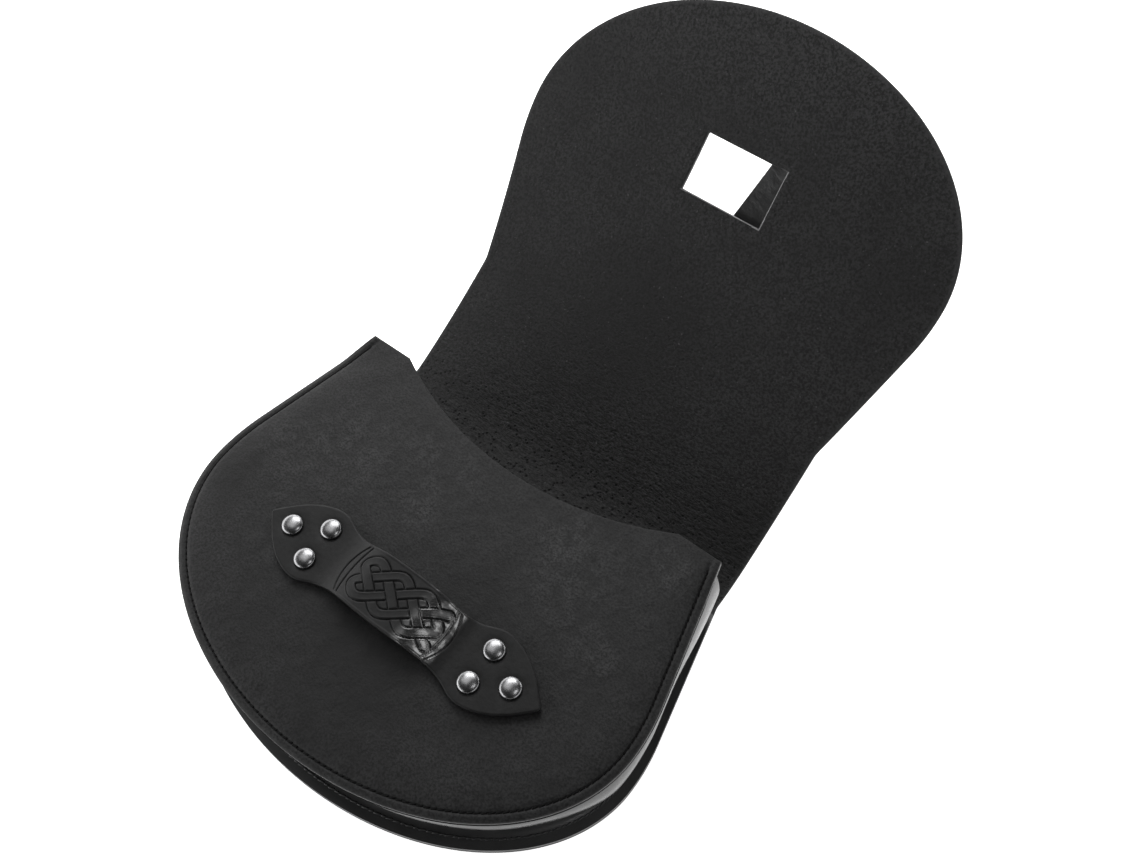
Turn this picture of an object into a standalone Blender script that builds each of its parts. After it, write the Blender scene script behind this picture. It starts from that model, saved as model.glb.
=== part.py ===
"""Leather belt pouch, lying on its back with the flap thrown open.

One hide makes the back and the flap. A second hide, scooped at the mouth, makes
the front, and a folded strip, the gusset, is sewn between the two. A humped
strap riveted to the front passes through the window in the flap, and the
closing strap, fixed behind, is pushed under the hump to lock it. Two loops on
the back take the belt.

Metres, with X across the pouch, Y from its round bottom to the flap and Z up.
Lengths that run along the back and flap are measured on the hide, from the
line of the riveted strap.
"""

import math

import bmesh
import bpy
from mathutils import Matrix, Vector

# Thickness of each piece of leather
HIDE_THICKNESS = 0.0020
FRONT_THICKNESS = 0.0024
GUSSET_THICKNESS = 0.0016
LOOP_THICKNESS = 0.0030
STRAP_THICKNESS = 0.0020
BELT_LOOP_THICKNESS = 0.0025

# Room left between two pieces that lie on each other
SEAT = 0.0003

# Round end of the pouch, seen from above
WIDEST_LINE = 0.0085
BODY_HALF_WIDTH = 0.1147
BODY_ARC = 0.0804
BODY_TAPER = 0.0900
TAPER_EASE = 0.0115

# Waist and round end of the flap
WAIST_HALF_WIDTH = 0.0963
WAIST_LENGTH = 0.0820
LOBE_HALF_WIDTH = 0.1124
LOBE_ARC = 0.0824
LOBE_TAPER = 0.0820

# How the flap springs up from the table
BEND_START = 0.0872
CREASE_LENGTH = 0.0400
CREASE_ANGLE = math.radians(26.9)
SPRING_LENGTH = 0.1900
SPRING_ANGLE = math.radians(24.4)

# Window in the flap
WINDOW_CENTRE = 0.2705
WINDOW_WIDTH = 0.0428
WINDOW_HEIGHT = 0.0282
WINDOW_CORNER = 0.0016

# Front, on its own slope
FRONT_HEIGHT = 0.0463
FRONT_SLOPE = math.radians(4.86)
FRONT_ARC = 0.0800
FRONT_TOP = 0.0938
FRONT_TOP_HALF_WIDTH = 0.0966
SHOULDER_WIDTH = 0.0215
SCOOP_DEPTH = 0.0186

# Seam that joins front, gusset and back
SEAM_MARGIN = 0.0070
SEAM_ROLL = 0.0026
SEAM_ROLL_REACH = 0.0160
MOUTH_MARGIN_SHARE = 0.51
GUSSET_FOLD_RADIUS = 0.0034
GUSSET_FOOT_RADIUS = 0.0075
GUSSET_FOOT_FLARE = 0.0042
FLARE_FROM = 0.10
FLARE_FADE = 0.60
WEB_BOW = 0.0058
MOUTH_BULGE = 0.0024
MOUTH_BULGE_REACH = 0.0450

# Riveted strap on the front
LOOP_LEFT_REACH = 0.0708
LOOP_RIGHT_REACH = 0.0755
LOOP_PLATE_HALF_WIDTH = 0.0178
LOOP_MIDDLE_HALF_WIDTH = 0.0138
LOOP_RISE = 0.0062
LOOP_FOOT = 0.0350
LOOP_CROWN = 0.0120

# Rivets of that strap
RIVET_RADIUS = 0.0047
RIVET_DOME = 0.0016
RIVET_RIM = 0.0004
RIVET_SHANK_RADIUS = 0.0016
RIVET_WASHER_RADIUS = 0.0040
RIVET_WASHER_THICKNESS = 0.0006
RIVET_OUTER_X = 0.0599
RIVET_INNER_X = 0.0449
RIVET_SHIFT = 0.0012
RIVET_SPREAD = 0.0082

# Closing strap, fixed behind
STRAP_WIDTH = 0.0260
STRAP_FROM = 0.0580
STRAP_SEWN = 0.0280
STRAP_TO = 0.3140
STRAP_DRIFT = 0.0310
STRAP_DRIFT_POWER = 1.7
STRAP_HANG = 0.0030
STRAP_POINT = 0.0240
STRAP_TIP_SHARE = 0.12

# Belt loops
BELT_LOOP_WIDTH = 0.0380
BELT_LOOP_SPACING = 0.0950
BELT_LOOP_FROM = 0.0100
BELT_LOOP_TO = 0.1000
BELT_LOOP_SEWN = 0.0090
BELT_LOOP_RAMP = 0.0050
BELT_ROOM = 0.0050

# Fineness of the faceted shapes
ARC_STEPS = 15
SCOOP_STEPS = 14
BEND_STEP = 0.0095
TAPER_STEP = 0.0078
FOLD_STEPS = 3
MOUTH_STEPS = 5
RIVET_SIDES = 14
RIVET_DOME_TURNS = (22.0, 42.0, 60.0, 76.0)
PATH_STEPS = 80
AHEAD_STEP = 0.0010
ACROSS_SHARES = (-1.0, -0.5, 0.0, 0.5, 1.0)
WEB_SHARES = (0.15, 0.3, 0.5, 0.7, 0.85)
HUMP_SHARES = (-0.7, -0.35, 0.0, 0.35, 0.7)
RAMP_SHARES = (0.25, 0.5, 0.75)
SAME_PLACE = 0.000001
MERGE_DISTANCE = 0.00005

# How far a cutter reaches past the leather that it cuts
CUT_PAST = 0.0040

# Outline of the riveted strap: share of its reach, share of the plate's half width
LOOP_PLATE_ROWS = (
    # share_of_reach, share_of_half_width
    (1.000, 0.035),
    (0.955, 0.235),
    (0.875, 0.560),
    (0.780, 0.825),
    (0.680, 0.975),
    (0.595, 1.000),
    (0.545, 0.930),
    (0.475, 0.800),
    (0.400, 0.735),
    (0.335, 0.720),
)


def clear_scene():
    for item in list(bpy.data.objects):
        bpy.data.objects.remove(item)


def surface(name, colour, roughness, metallic):
    material = bpy.data.materials.new(name)
    material.use_nodes = True
    shader = material.node_tree.nodes["Principled BSDF"]
    shader.inputs["Base Color"].default_value = (*colour, 1.0)
    shader.inputs["Roughness"].default_value = roughness
    shader.inputs["Metallic"].default_value = metallic
    return material


def add_mesh(name, points, faces, material=None):
    mesh = bpy.data.meshes.new(name)
    mesh.from_pydata([tuple(point) for point in points], [], faces)
    mesh.validate()
    made = bpy.data.objects.new(name, mesh)
    bpy.context.scene.collection.objects.link(made)
    if material:
        mesh.materials.append(material)
    return made


def add_ribbon(name, rows, material):
    """An open sheet lofted through rows that hold the same number of points."""
    width = len(rows[0])
    points = [point for row in rows for point in row]
    faces = []
    for i in range(len(rows) - 1):
        for j in range(width - 1):
            corner = i * width + j
            faces.append((corner, corner + 1, corner + width + 1, corner + width))
    return add_mesh(name, points, faces, material)


def give_thickness(piece, thickness, offset=0.0):
    wall = piece.modifiers.new("Wall", "SOLIDIFY")
    wall.thickness = thickness
    wall.offset = offset
    wall.use_even_offset = True
    return piece


def add_prism(name, outline, low, high):
    """A closed prism on an outline in the XY plane, from Z low to Z high."""
    mesh = bpy.data.meshes.new(name)
    form = bmesh.new()
    floor = form.faces.new([form.verts.new((x, y, low)) for x, y in outline])
    grown = bmesh.ops.extrude_face_region(form, geom=[floor])["geom"]
    raised = [item for item in grown if isinstance(item, bmesh.types.BMVert)]
    bmesh.ops.translate(form, verts=raised, vec=(0.0, 0.0, high - low))
    bmesh.ops.recalc_face_normals(form, faces=form.faces)
    form.to_mesh(mesh)
    form.free()
    made = bpy.data.objects.new(name, mesh)
    bpy.context.scene.collection.objects.link(made)
    return made


def cut(piece, cutter):
    cutter.hide_render = True
    cutter.display_type = "WIRE"
    hole = piece.modifiers.new("Hole", "BOOLEAN")
    hole.operation = "DIFFERENCE"
    hole.object = cutter


def smoothstep(share):
    share = min(1.0, max(0.0, share))
    return share * share * (3.0 - 2.0 * share)


def d_half_width(from_widest, widest, arc, narrow, taper):
    """Half width of a D outline at a distance from its widest line.

    The round side, where the distance is negative, is half an ellipse. The
    other side is a straight taper that is eased into the widest line.
    """
    if from_widest <= 0.0:
        return widest * math.sqrt(max(0.0, 1.0 - (from_widest / arc) ** 2))
    slope = (widest - narrow) / (taper - TAPER_EASE)
    if from_widest < 2.0 * TAPER_EASE:
        return widest - slope * from_widest**2 / (4.0 * TAPER_EASE)
    return widest - slope * (from_widest - TAPER_EASE)


WAIST_START = WIDEST_LINE + BODY_TAPER
WAIST_END = WAIST_START + WAIST_LENGTH
LOBE_LINE = WAIST_END + LOBE_TAPER


def hide_half_width(along):
    if along <= WAIST_START:
        return d_half_width(
            along - WIDEST_LINE, BODY_HALF_WIDTH, BODY_ARC, WAIST_HALF_WIDTH, BODY_TAPER
        )
    if along <= WAIST_END:
        return WAIST_HALF_WIDTH
    return d_half_width(
        LOBE_LINE - along, LOBE_HALF_WIDTH, LOBE_ARC, WAIST_HALF_WIDTH, LOBE_TAPER
    )


def hide_angle(along):
    """Slope of the hide, which lies flat and then springs up past the mouth."""
    past = along - BEND_START
    if past <= 0.0:
        return 0.0
    if past <= CREASE_LENGTH:
        return CREASE_ANGLE * smoothstep(past / CREASE_LENGTH)
    return CREASE_ANGLE + SPRING_ANGLE * (past - CREASE_LENGTH) / SPRING_LENGTH


def hide_frame(along):
    """Y, Z and slope of the middle of the hide."""
    y = min(along, BEND_START)
    z = 0.0
    step = (along - y) / PATH_STEPS
    if step > 0.0:
        for i in range(PATH_STEPS):
            angle = hide_angle(BEND_START + (i + 0.5) * step)
            y += step * math.cos(angle)
            z += step * math.sin(angle)
    return y, z, hide_angle(along)


def on_hide(x, along, height=0.0):
    """A point over the hide, at a height on the side that faces up and inwards."""
    y, z, angle = hide_frame(along)
    return Vector((x, y - height * math.sin(angle), z + height * math.cos(angle)))


def spread(start, end, longest):
    """Evenly spaced values from start up to, but without, end."""
    count = max(1, math.ceil((end - start) / longest))
    return [start + (end - start) * i / count for i in range(count)]


def hide_rows():
    """Where the hide's outline or slope changes, from the round bottom to the lobe."""
    rows = []
    for i in range(1, 2 * ARC_STEPS):
        turn = math.pi / 2.0 * i / (2 * ARC_STEPS)
        if i > 2 and i % 2:
            continue
        rows.append(WIDEST_LINE - BODY_ARC * math.cos(turn))
        rows.append(LOBE_LINE + LOBE_ARC * math.cos(turn))
    rows += spread(WIDEST_LINE, WIDEST_LINE + 2.0 * TAPER_EASE, TAPER_STEP)
    rows += spread(LOBE_LINE - 2.0 * TAPER_EASE, LOBE_LINE, TAPER_STEP)
    rows += [WIDEST_LINE + 2.0 * TAPER_EASE, LOBE_LINE, BEND_START, WAIST_START, WAIST_END]
    flat = sorted(rows)
    for low, high in zip(flat, flat[1:]):
        if high > BEND_START:
            rows += spread(max(low, BEND_START), high, BEND_STEP)[1:]
    ordered = []
    for along in sorted(rows):
        if not ordered or along - ordered[-1] > SAME_PLACE:
            ordered.append(along)
    return ordered


def make_back_and_flap(material):
    rows = []
    for along in hide_rows():
        half = hide_half_width(along)
        rows.append([on_hide(half * share, along) for share in ACROSS_SHARES])
    hide = give_thickness(add_ribbon("back_and_flap", rows, material), HIDE_THICKNESS)
    reach = HIDE_THICKNESS / 2.0 + CUT_PAST
    window = add_prism("window_cutter", rounded_box(), -reach, reach)
    y, z, angle = hide_frame(WINDOW_CENTRE)
    window.matrix_world = Matrix.Translation((0.0, y, z)) @ Matrix.Rotation(angle, 4, "X")
    cut(hide, window)
    return hide


def rounded_box():
    """Outline of the window, with its corners rounded."""
    outline = []
    corners = ((1, 1, 0), (-1, 1, 90), (-1, -1, 180), (1, -1, 270))
    for side_x, side_y, first in corners:
        for turn in (first, first + 30, first + 60, first + 90):
            x = side_x * (WINDOW_WIDTH / 2.0 - WINDOW_CORNER)
            y = side_y * (WINDOW_HEIGHT / 2.0 - WINDOW_CORNER)
            x += WINDOW_CORNER * math.cos(math.radians(turn))
            y += WINDOW_CORNER * math.sin(math.radians(turn))
            outline.append((x, y))
    return outline


def body_side(arc, top, top_half_width):
    """Right half of a sewn outline, from the bottom up to the mouth."""
    taper = top - WIDEST_LINE
    levels = [WIDEST_LINE - arc * math.cos(math.pi / 2.0 * i / ARC_STEPS) for i in range(ARC_STEPS)]
    levels += spread(WIDEST_LINE, WIDEST_LINE + 2.0 * TAPER_EASE, TAPER_STEP)
    levels += spread(WIDEST_LINE + 2.0 * TAPER_EASE, top - MOUTH_BULGE_REACH, MOUTH_BULGE_REACH)
    levels += spread(top - MOUTH_BULGE_REACH, top, MOUTH_BULGE_REACH / MOUTH_STEPS)
    levels.append(top)
    side = []
    for y in levels:
        half = d_half_width(y - WIDEST_LINE, BODY_HALF_WIDTH, arc, top_half_width, taper)
        side.append(Vector((half, y)))
    return side


def whole_u(side):
    """The sewn outline from the left top corner round the bottom to the right one."""
    left = [Vector((-point.x, point.y)) for point in reversed(side[1:])]
    return left + side


def inward(path, i):
    """Plan direction into the pouch at a point of the sewn outline."""
    before = path[max(0, i - 1)]
    after = path[min(len(path) - 1, i + 1)]
    along = (after - before).normalized()
    return Vector((-along.y, along.x))


FRONT_PLANE = Matrix.Translation((0.0, 0.0, FRONT_HEIGHT)) @ Matrix.Rotation(FRONT_SLOPE, 4, "X")


def front_sewn_u():
    return whole_u(body_side(FRONT_ARC, FRONT_TOP, FRONT_TOP_HALF_WIDTH))


def front_outline():
    """Whole outline of the front: its sewn U, two shoulders and the scooped mouth."""
    sewn = front_sewn_u()
    half_mouth = FRONT_TOP_HALF_WIDTH - SHOULDER_WIDTH
    radius = (half_mouth**2 + SCOOP_DEPTH**2) / (2.0 * SCOOP_DEPTH)
    half_turn = math.asin(half_mouth / radius)
    mouth = []
    for i in range(SCOOP_STEPS + 1):
        turn = half_turn * (1.0 - 2.0 * i / SCOOP_STEPS)
        y = FRONT_TOP - SCOOP_DEPTH + radius * (1.0 - math.cos(turn))
        mouth.append(Vector((radius * math.sin(turn), y)))
    return sewn, mouth


def seam_drop(y, inset):
    """How far the front is pulled down at a distance in from its sewn edge.

    The pull is even round the pouch and dies out at the corners of the mouth.
    """
    near = max(0.0, 1.0 - inset / SEAM_ROLL_REACH)
    return SEAM_ROLL * near**2 * smoothstep((FRONT_TOP - y) / SHOULDER_WIDTH)


def front_ring(outline, sewn, inset):
    """The front's outline moved in, on the surface that the seam pulls down.

    The mouth, which isn't sewn, moves in by a smaller share.
    """
    mouth_step = MOUTH_MARGIN_SHARE * inset
    ring = []
    for i, point in enumerate(outline):
        if i == 0 or i == len(sewn) - 1:
            step = Vector((math.copysign(inset, -point.x), -mouth_step))
        elif i < len(sewn):
            step = inset * inward(sewn, i)
        else:
            step = Vector((0.0, -mouth_step))
        drop = seam_drop(point.y, inset) if i < len(sewn) else 0.0
        ring.append(Vector((point.x + step.x, point.y + step.y, -drop)))
    return ring


def make_front_panel(material):
    """A flat hide whose sewn margin is pulled down towards its edge."""
    sewn, mouth = front_outline()
    outline = sewn + mouth
    count = len(outline)
    insets = (0.0, SEAM_MARGIN / 2.0, SEAM_MARGIN, SEAM_ROLL_REACH)
    points = [point for inset in insets for point in front_ring(outline, sewn, inset)]
    faces = []
    for ring in range(len(insets) - 1):
        first = ring * count
        for i in range(count):
            after = (i + 1) % count
            faces.append((first + i, first + after, first + count + after, first + count + i))
    faces.append(tuple(range(len(points) - count, len(points))))
    panel = add_mesh("front_panel", points, faces, material)
    give_thickness(panel, FRONT_THICKNESS, -1.0)
    for place in rivet_places():
        cut(panel, rivet_hole(place, -FRONT_THICKNESS - CUT_PAST, CUT_PAST))
    return panel


def seat_under_front(front, into, inset):
    """Middle of the gusset's leather where it lies under the front, in from its edge."""
    place = front + inset * into
    height = -FRONT_THICKNESS - SEAT - GUSSET_THICKNESS / 2.0 - seam_drop(front.y, inset)
    return FRONT_PLANE @ Vector((place.x, place.y, height))


def seat_on_back(back, into, inset):
    place = back + inset * into
    return Vector((place.x, place.y, HIDE_THICKNESS / 2.0 + SEAT + GUSSET_THICKNESS / 2.0))


def gusset_section(front, back, into, bow):
    """Middle line of the gusset across its width, from the front's edge to the back's.

    Its two margins lie flat under the front and on the back. The web between
    them is folded in from both edges, and bows out again to about their line.
    Round the bottom its foot flares: it turns with a wider radius, further in.
    """
    flare = smoothstep((into.y - FLARE_FROM) / FLARE_FADE)
    foot_radius = GUSSET_FOLD_RADIUS + flare * (GUSSET_FOOT_RADIUS - GUSSET_FOLD_RADIUS)
    inset = SEAM_MARGIN + GUSSET_THICKNESS / 2.0
    foot_inset = inset + flare * GUSSET_FOOT_FLARE
    flat = inset - GUSSET_FOLD_RADIUS
    foot_flat = foot_inset - foot_radius
    top = seat_under_front(front, into, inset)
    foot = seat_on_back(back, into, foot_inset)
    down = (foot - top).normalized()
    fold = []
    for i in range(FOLD_STEPS + 1):
        turn = math.pi / 2.0 * i / FOLD_STEPS
        fold.append((1.0 - math.sin(turn), 1.0 - math.cos(turn)))
    line = [seat_under_front(front, into, 0.0), seat_under_front(front, into, flat / 2.0)]
    over = seat_under_front(front, into, flat) - top
    line += [top + over * across + GUSSET_FOLD_RADIUS * drop * down for across, drop in fold]
    web_top = top + GUSSET_FOLD_RADIUS * down
    web_foot = foot - foot_radius * down
    out = Vector((-into.x, -into.y, 0.0))
    for share in WEB_SHARES:
        line.append(web_top.lerp(web_foot, share) + out * bow * math.sin(math.pi * share))
    over = seat_on_back(back, into, foot_flat) - foot
    line += [foot + over * across - foot_radius * drop * down for across, drop in reversed(fold)]
    line += [seat_on_back(back, into, foot_flat / 2.0), seat_on_back(back, into, 0.0)]
    return line


def make_gusset(material):
    mouth = FRONT_TOP * math.cos(FRONT_SLOPE)
    back_u = whole_u(body_side(BODY_ARC, mouth, hide_half_width(mouth)))
    rows = []
    for i, (front, back) in enumerate(zip(front_sewn_u(), back_u)):
        plan = inward(back_u, i)
        to_mouth = smoothstep(1.0 - (FRONT_TOP - front.y) / MOUTH_BULGE_REACH)
        into = Vector((plan.x, plan.y * (1.0 - to_mouth))).normalized()
        rows.append(gusset_section(front, back, into, WEB_BOW + MOUTH_BULGE * to_mouth))
    return give_thickness(add_ribbon("gusset", rows, material), GUSSET_THICKNESS)


def loop_rows():
    """(x, half width) of the riveted strap from its left tip to its right one."""
    rows = []
    for share, width in LOOP_PLATE_ROWS:
        rows.append((-share * LOOP_LEFT_REACH, width * LOOP_PLATE_HALF_WIDTH))
    inner_share, inner_width = LOOP_PLATE_ROWS[-1]
    neck = inner_width * LOOP_PLATE_HALF_WIDTH
    for share in HUMP_SHARES:
        swell = (LOOP_MIDDLE_HALF_WIDTH - neck) * (1.0 - share**2)
        rows.append((share * inner_share * LOOP_LEFT_REACH, neck + swell))
    for share, width in reversed(LOOP_PLATE_ROWS):
        rows.append((share * LOOP_RIGHT_REACH, width * LOOP_PLATE_HALF_WIDTH))
    return rows


def loop_height(x):
    """Height of the strap's middle over the front."""
    rise = smoothstep((LOOP_FOOT - abs(x)) / (LOOP_FOOT - LOOP_CROWN))
    return SEAT + LOOP_THICKNESS / 2.0 + LOOP_RISE * rise


def make_closure_loop(material):
    rows = []
    for x, half in loop_rows():
        height = loop_height(x)
        rows.append([Vector((x, share * half, height)) for share in (1.0, 0.0, -1.0)])
    loop = give_thickness(add_ribbon("closure_loop", rows, material), LOOP_THICKNESS)
    for place in rivet_places():
        cut(loop, rivet_hole(place, -CUT_PAST, LOOP_THICKNESS + CUT_PAST))
    return loop


def rivet_places():
    """Name and place of each rivet on the slope of the front."""
    places = []
    for side, sign in (("left", -1.0), ("right", 1.0)):
        places.append((f"rivet_{side}_outer", RIVET_SHIFT + sign * RIVET_OUTER_X, 0.0))
        places.append((f"rivet_{side}_upper", RIVET_SHIFT + sign * RIVET_INNER_X, RIVET_SPREAD))
        places.append((f"rivet_{side}_lower", RIVET_SHIFT + sign * RIVET_INNER_X, -RIVET_SPREAD))
    return places


def rivet_hole(place, low, high):
    name, x, y = place
    radius = RIVET_SHANK_RADIUS + SEAT
    sides = [2.0 * math.pi * i / RIVET_SIDES for i in range(RIVET_SIDES)]
    outline = [(x + radius * math.cos(turn), y + radius * math.sin(turn)) for turn in sides]
    hole = add_prism(f"{name}_hole", outline, low, high)
    hole.matrix_world = FRONT_PLANE
    return hole


def make_rivet(place, material):
    """A domed cap, its shank through strap and front, and the washer inside."""
    name, x, y = place
    seat = SEAT + LOOP_THICKNESS + SEAT
    washer = -FRONT_THICKNESS - SEAT
    profile = [(0.0, seat + RIVET_RIM + RIVET_DOME)]
    for turn in map(math.radians, RIVET_DOME_TURNS):
        rise = RIVET_RIM + RIVET_DOME * math.cos(turn)
        profile.append((RIVET_RADIUS * math.sin(turn), seat + rise))
    profile += [(RIVET_RADIUS, seat + RIVET_RIM), (RIVET_RADIUS, seat)]
    profile += [(RIVET_SHANK_RADIUS, seat), (RIVET_SHANK_RADIUS, washer)]
    below = washer - RIVET_WASHER_THICKNESS
    profile += [(RIVET_WASHER_RADIUS, washer), (RIVET_WASHER_RADIUS, below), (0.0, below)]
    mesh = bpy.data.meshes.new(name)
    edges = [(i, i + 1) for i in range(len(profile) - 1)]
    mesh.from_pydata([(radius, 0.0, z) for radius, z in profile], edges, [])
    mesh.materials.append(material)
    rivet = bpy.data.objects.new(name, mesh)
    bpy.context.scene.collection.objects.link(rivet)
    rivet.matrix_world = FRONT_PLANE @ Matrix.Translation((x, y, 0.0))
    turned = rivet.modifiers.new("Turned", "SCREW")
    turned.steps = RIVET_SIDES
    turned.render_steps = RIVET_SIDES
    turned.use_merge_vertices = True
    turned.merge_threshold = MERGE_DISTANCE
    return rivet


def strap_share(along):
    """How far a place is along the loose part of the closing strap, from 0 to 1."""
    return max(0.0, along - STRAP_FROM - STRAP_SEWN) / (STRAP_TO - STRAP_FROM - STRAP_SEWN)


def strap_middle(along):
    """Sideways drift of the closing strap, which swings aside as it hangs."""
    return STRAP_DRIFT * strap_share(along) ** STRAP_DRIFT_POWER


def strap_half_width(along):
    left = min(1.0, (STRAP_TO - along) / STRAP_POINT)
    return STRAP_WIDTH / 2.0 * (STRAP_TIP_SHARE + (1.0 - STRAP_TIP_SHARE) * math.sin(math.pi / 2.0 * left))


def make_closing_strap(material):
    """Sewn to the back behind the mouth, it lies loosely along the flap's outer face."""
    seated = -(HIDE_THICKNESS / 2.0 + SEAT + STRAP_THICKNESS / 2.0)
    stations = spread(STRAP_FROM, BEND_START, BEND_STEP * 2.0)
    stations += spread(BEND_START, STRAP_TO - STRAP_POINT, BEND_STEP)
    stations += spread(STRAP_TO - STRAP_POINT, STRAP_TO, STRAP_POINT / 4.0) + [STRAP_TO]
    rows = []
    for along in stations:
        height = seated - STRAP_HANG * smoothstep(strap_share(along))
        middle = strap_middle(along)
        turn = math.atan2(strap_middle(along + AHEAD_STEP) - middle, AHEAD_STEP)
        row = []
        for side in (1.0, -1.0):
            half = side * strap_half_width(along)
            row.append(on_hide(middle + half * math.cos(turn), along - half * math.sin(turn), height))
        rows.append(row)
    return give_thickness(add_ribbon("closing_strap", rows, material), STRAP_THICKNESS)


def make_belt_loop(name, centre, material):
    """A strap sewn down at both ends, pressed flat by the pouch that lies on it."""
    sewn = -(HIDE_THICKNESS / 2.0 + SEAT + BELT_LOOP_THICKNESS / 2.0)
    inner = BELT_LOOP_SEWN + BELT_LOOP_RAMP
    first, last = BELT_LOOP_FROM + BELT_LOOP_SEWN, BELT_LOOP_TO - BELT_LOOP_SEWN
    stations = [BELT_LOOP_FROM, first]
    stations += [first + BELT_LOOP_RAMP * share for share in RAMP_SHARES]
    stations += [BELT_LOOP_FROM + inner, BELT_LOOP_TO - inner]
    stations += [last - BELT_LOOP_RAMP * share for share in reversed(RAMP_SHARES)]
    stations += [last, BELT_LOOP_TO]
    rows = []
    for y in stations:
        from_end = min(y - BELT_LOOP_FROM, BELT_LOOP_TO - y) - BELT_LOOP_SEWN
        height = sewn - BELT_ROOM * smoothstep(from_end / BELT_LOOP_RAMP)
        rows.append([on_hide(centre + side * BELT_LOOP_WIDTH / 2.0, y, height) for side in (1.0, -1.0)])
    return give_thickness(add_ribbon(name, rows, material), BELT_LOOP_THICKNESS)


def stand_on_floor(pieces):
    """Puts the origin under the middle of the whole, at the height it rests on."""
    graph = bpy.context.evaluated_depsgraph_get()
    low = Vector((math.inf,) * 3)
    high = Vector((-math.inf,) * 3)
    for piece in pieces:
        shape = piece.evaluated_get(graph)
        mesh = shape.to_mesh()
        for vertex in mesh.vertices:
            place = shape.matrix_world @ vertex.co
            low = Vector(map(min, low, place))
            high = Vector(map(max, high, place))
        shape.to_mesh_clear()
    middle = (low + high) / 2.0
    shift = Matrix.Translation((0.0, -middle.y, -low.z))
    for item in bpy.data.objects:
        item.matrix_world = shift @ item.matrix_world


def main():
    clear_scene()
    matt_black = surface("matt_black_leather", (0.022, 0.022, 0.023), 0.62, 0.0)
    smooth_black = surface("smooth_black_leather", (0.012, 0.012, 0.013), 0.28, 0.0)
    strap_black = surface("strap_leather", (0.018, 0.018, 0.019), 0.50, 0.0)
    dark_nickel = surface("dark_nickel", (0.32, 0.32, 0.33), 0.28, 1.0)
    pieces = [make_back_and_flap(matt_black), make_gusset(smooth_black)]
    front = [make_front_panel(matt_black), make_closure_loop(strap_black)]
    for piece in front:
        piece.matrix_world = FRONT_PLANE
    pieces += front
    pieces += [make_rivet(place, dark_nickel) for place in rivet_places()]
    pieces.append(make_closing_strap(strap_black))
    for name, side in (("belt_loop_left", -0.5), ("belt_loop_right", 0.5)):
        pieces.append(make_belt_loop(name, side * BELT_LOOP_SPACING, matt_black))
    bpy.context.view_layer.update()
    for piece in pieces:
        if piece.name.startswith("rivet"):
            piece.data.shade_smooth()
    stand_on_floor(pieces)


main()
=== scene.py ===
# %% [markdown]
# # A leather belt pouch
# The pouch lies on its back with the flap thrown open, so that its front, the
# riveted strap and the inner side of the flap show. This lesson dresses the
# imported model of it. Each leather is cut flat, as on a bench, then bent into
# place, and each finish is built from nodes.

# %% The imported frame
import math

import bmesh
import bpy
import numpy as np
from mathutils import Matrix, Vector, noise


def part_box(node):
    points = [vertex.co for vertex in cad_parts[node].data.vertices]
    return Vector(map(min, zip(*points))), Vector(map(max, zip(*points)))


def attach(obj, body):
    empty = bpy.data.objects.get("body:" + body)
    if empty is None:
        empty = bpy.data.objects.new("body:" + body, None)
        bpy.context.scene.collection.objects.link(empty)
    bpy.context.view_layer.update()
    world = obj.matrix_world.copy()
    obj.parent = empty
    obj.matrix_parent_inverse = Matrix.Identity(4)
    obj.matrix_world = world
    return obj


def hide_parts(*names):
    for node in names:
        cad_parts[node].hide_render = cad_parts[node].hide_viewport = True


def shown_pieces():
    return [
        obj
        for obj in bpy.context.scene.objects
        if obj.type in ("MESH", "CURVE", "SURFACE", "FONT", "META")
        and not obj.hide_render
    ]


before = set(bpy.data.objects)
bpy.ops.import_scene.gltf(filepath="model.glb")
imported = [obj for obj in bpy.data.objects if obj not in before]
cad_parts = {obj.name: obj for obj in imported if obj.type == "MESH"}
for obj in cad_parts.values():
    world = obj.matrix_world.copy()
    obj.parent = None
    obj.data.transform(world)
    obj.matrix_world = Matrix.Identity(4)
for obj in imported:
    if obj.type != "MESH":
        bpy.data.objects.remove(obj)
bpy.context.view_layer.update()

# %% [markdown]
# ## Camera
# The photograph looks down on the pouch from its lower right. The place and
# turn come from matching the outline of the solids to it. The camera is made
# first, because every later choice is judged through it.

# %% Camera
CAMERA_PLACE = Vector((0.196758, -0.232232, 0.524661))
CAMERA_TURN = (
    Matrix.Rotation(math.radians(39.41), 3, "Z")
    @ Matrix.Rotation(math.radians(32.95), 3, "X")
    @ Matrix.Rotation(math.radians(-1.87), 3, "Z")
)
bpy.ops.object.camera_add()
camera = bpy.context.object
camera.name = "camera"
camera.matrix_world = Matrix.Translation(CAMERA_PLACE) @ CAMERA_TURN.to_4x4()
camera.data.lens = 39.47
camera.data.sensor_width = 36.0
camera.data.clip_start = 0.01
bpy.context.scene.camera = camera
print("camera", [round(x, 3) for x in camera.location])

# %% [markdown]
# ## The bench
# All lengths are in metres. X runs across the pouch, and the back and the flap
# are one hide, so places on it are given by how far along the hide they are,
# from the line of the riveted strap. These sizes are the ones that the solids
# were made with, and the bench is set on the floor by the box of the hide.

# %% Sizes of the hides
HIDE_THICKNESS = 0.0020
FRONT_THICKNESS = 0.0024
GUSSET_THICKNESS = 0.0016
SEAT = 0.0003

WIDEST_LINE = 0.0085
BODY_HALF_WIDTH = 0.1147
BODY_ARC = 0.0804
BODY_TAPER = 0.0900
TAPER_EASE = 0.0115
WAIST_HALF_WIDTH = 0.0963
WAIST_LENGTH = 0.0820
LOBE_HALF_WIDTH = 0.1124
LOBE_ARC = 0.0824
LOBE_TAPER = 0.0820
WAIST_START = WIDEST_LINE + BODY_TAPER
WAIST_END = WAIST_START + WAIST_LENGTH
LOBE_LINE = WAIST_END + LOBE_TAPER

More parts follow.
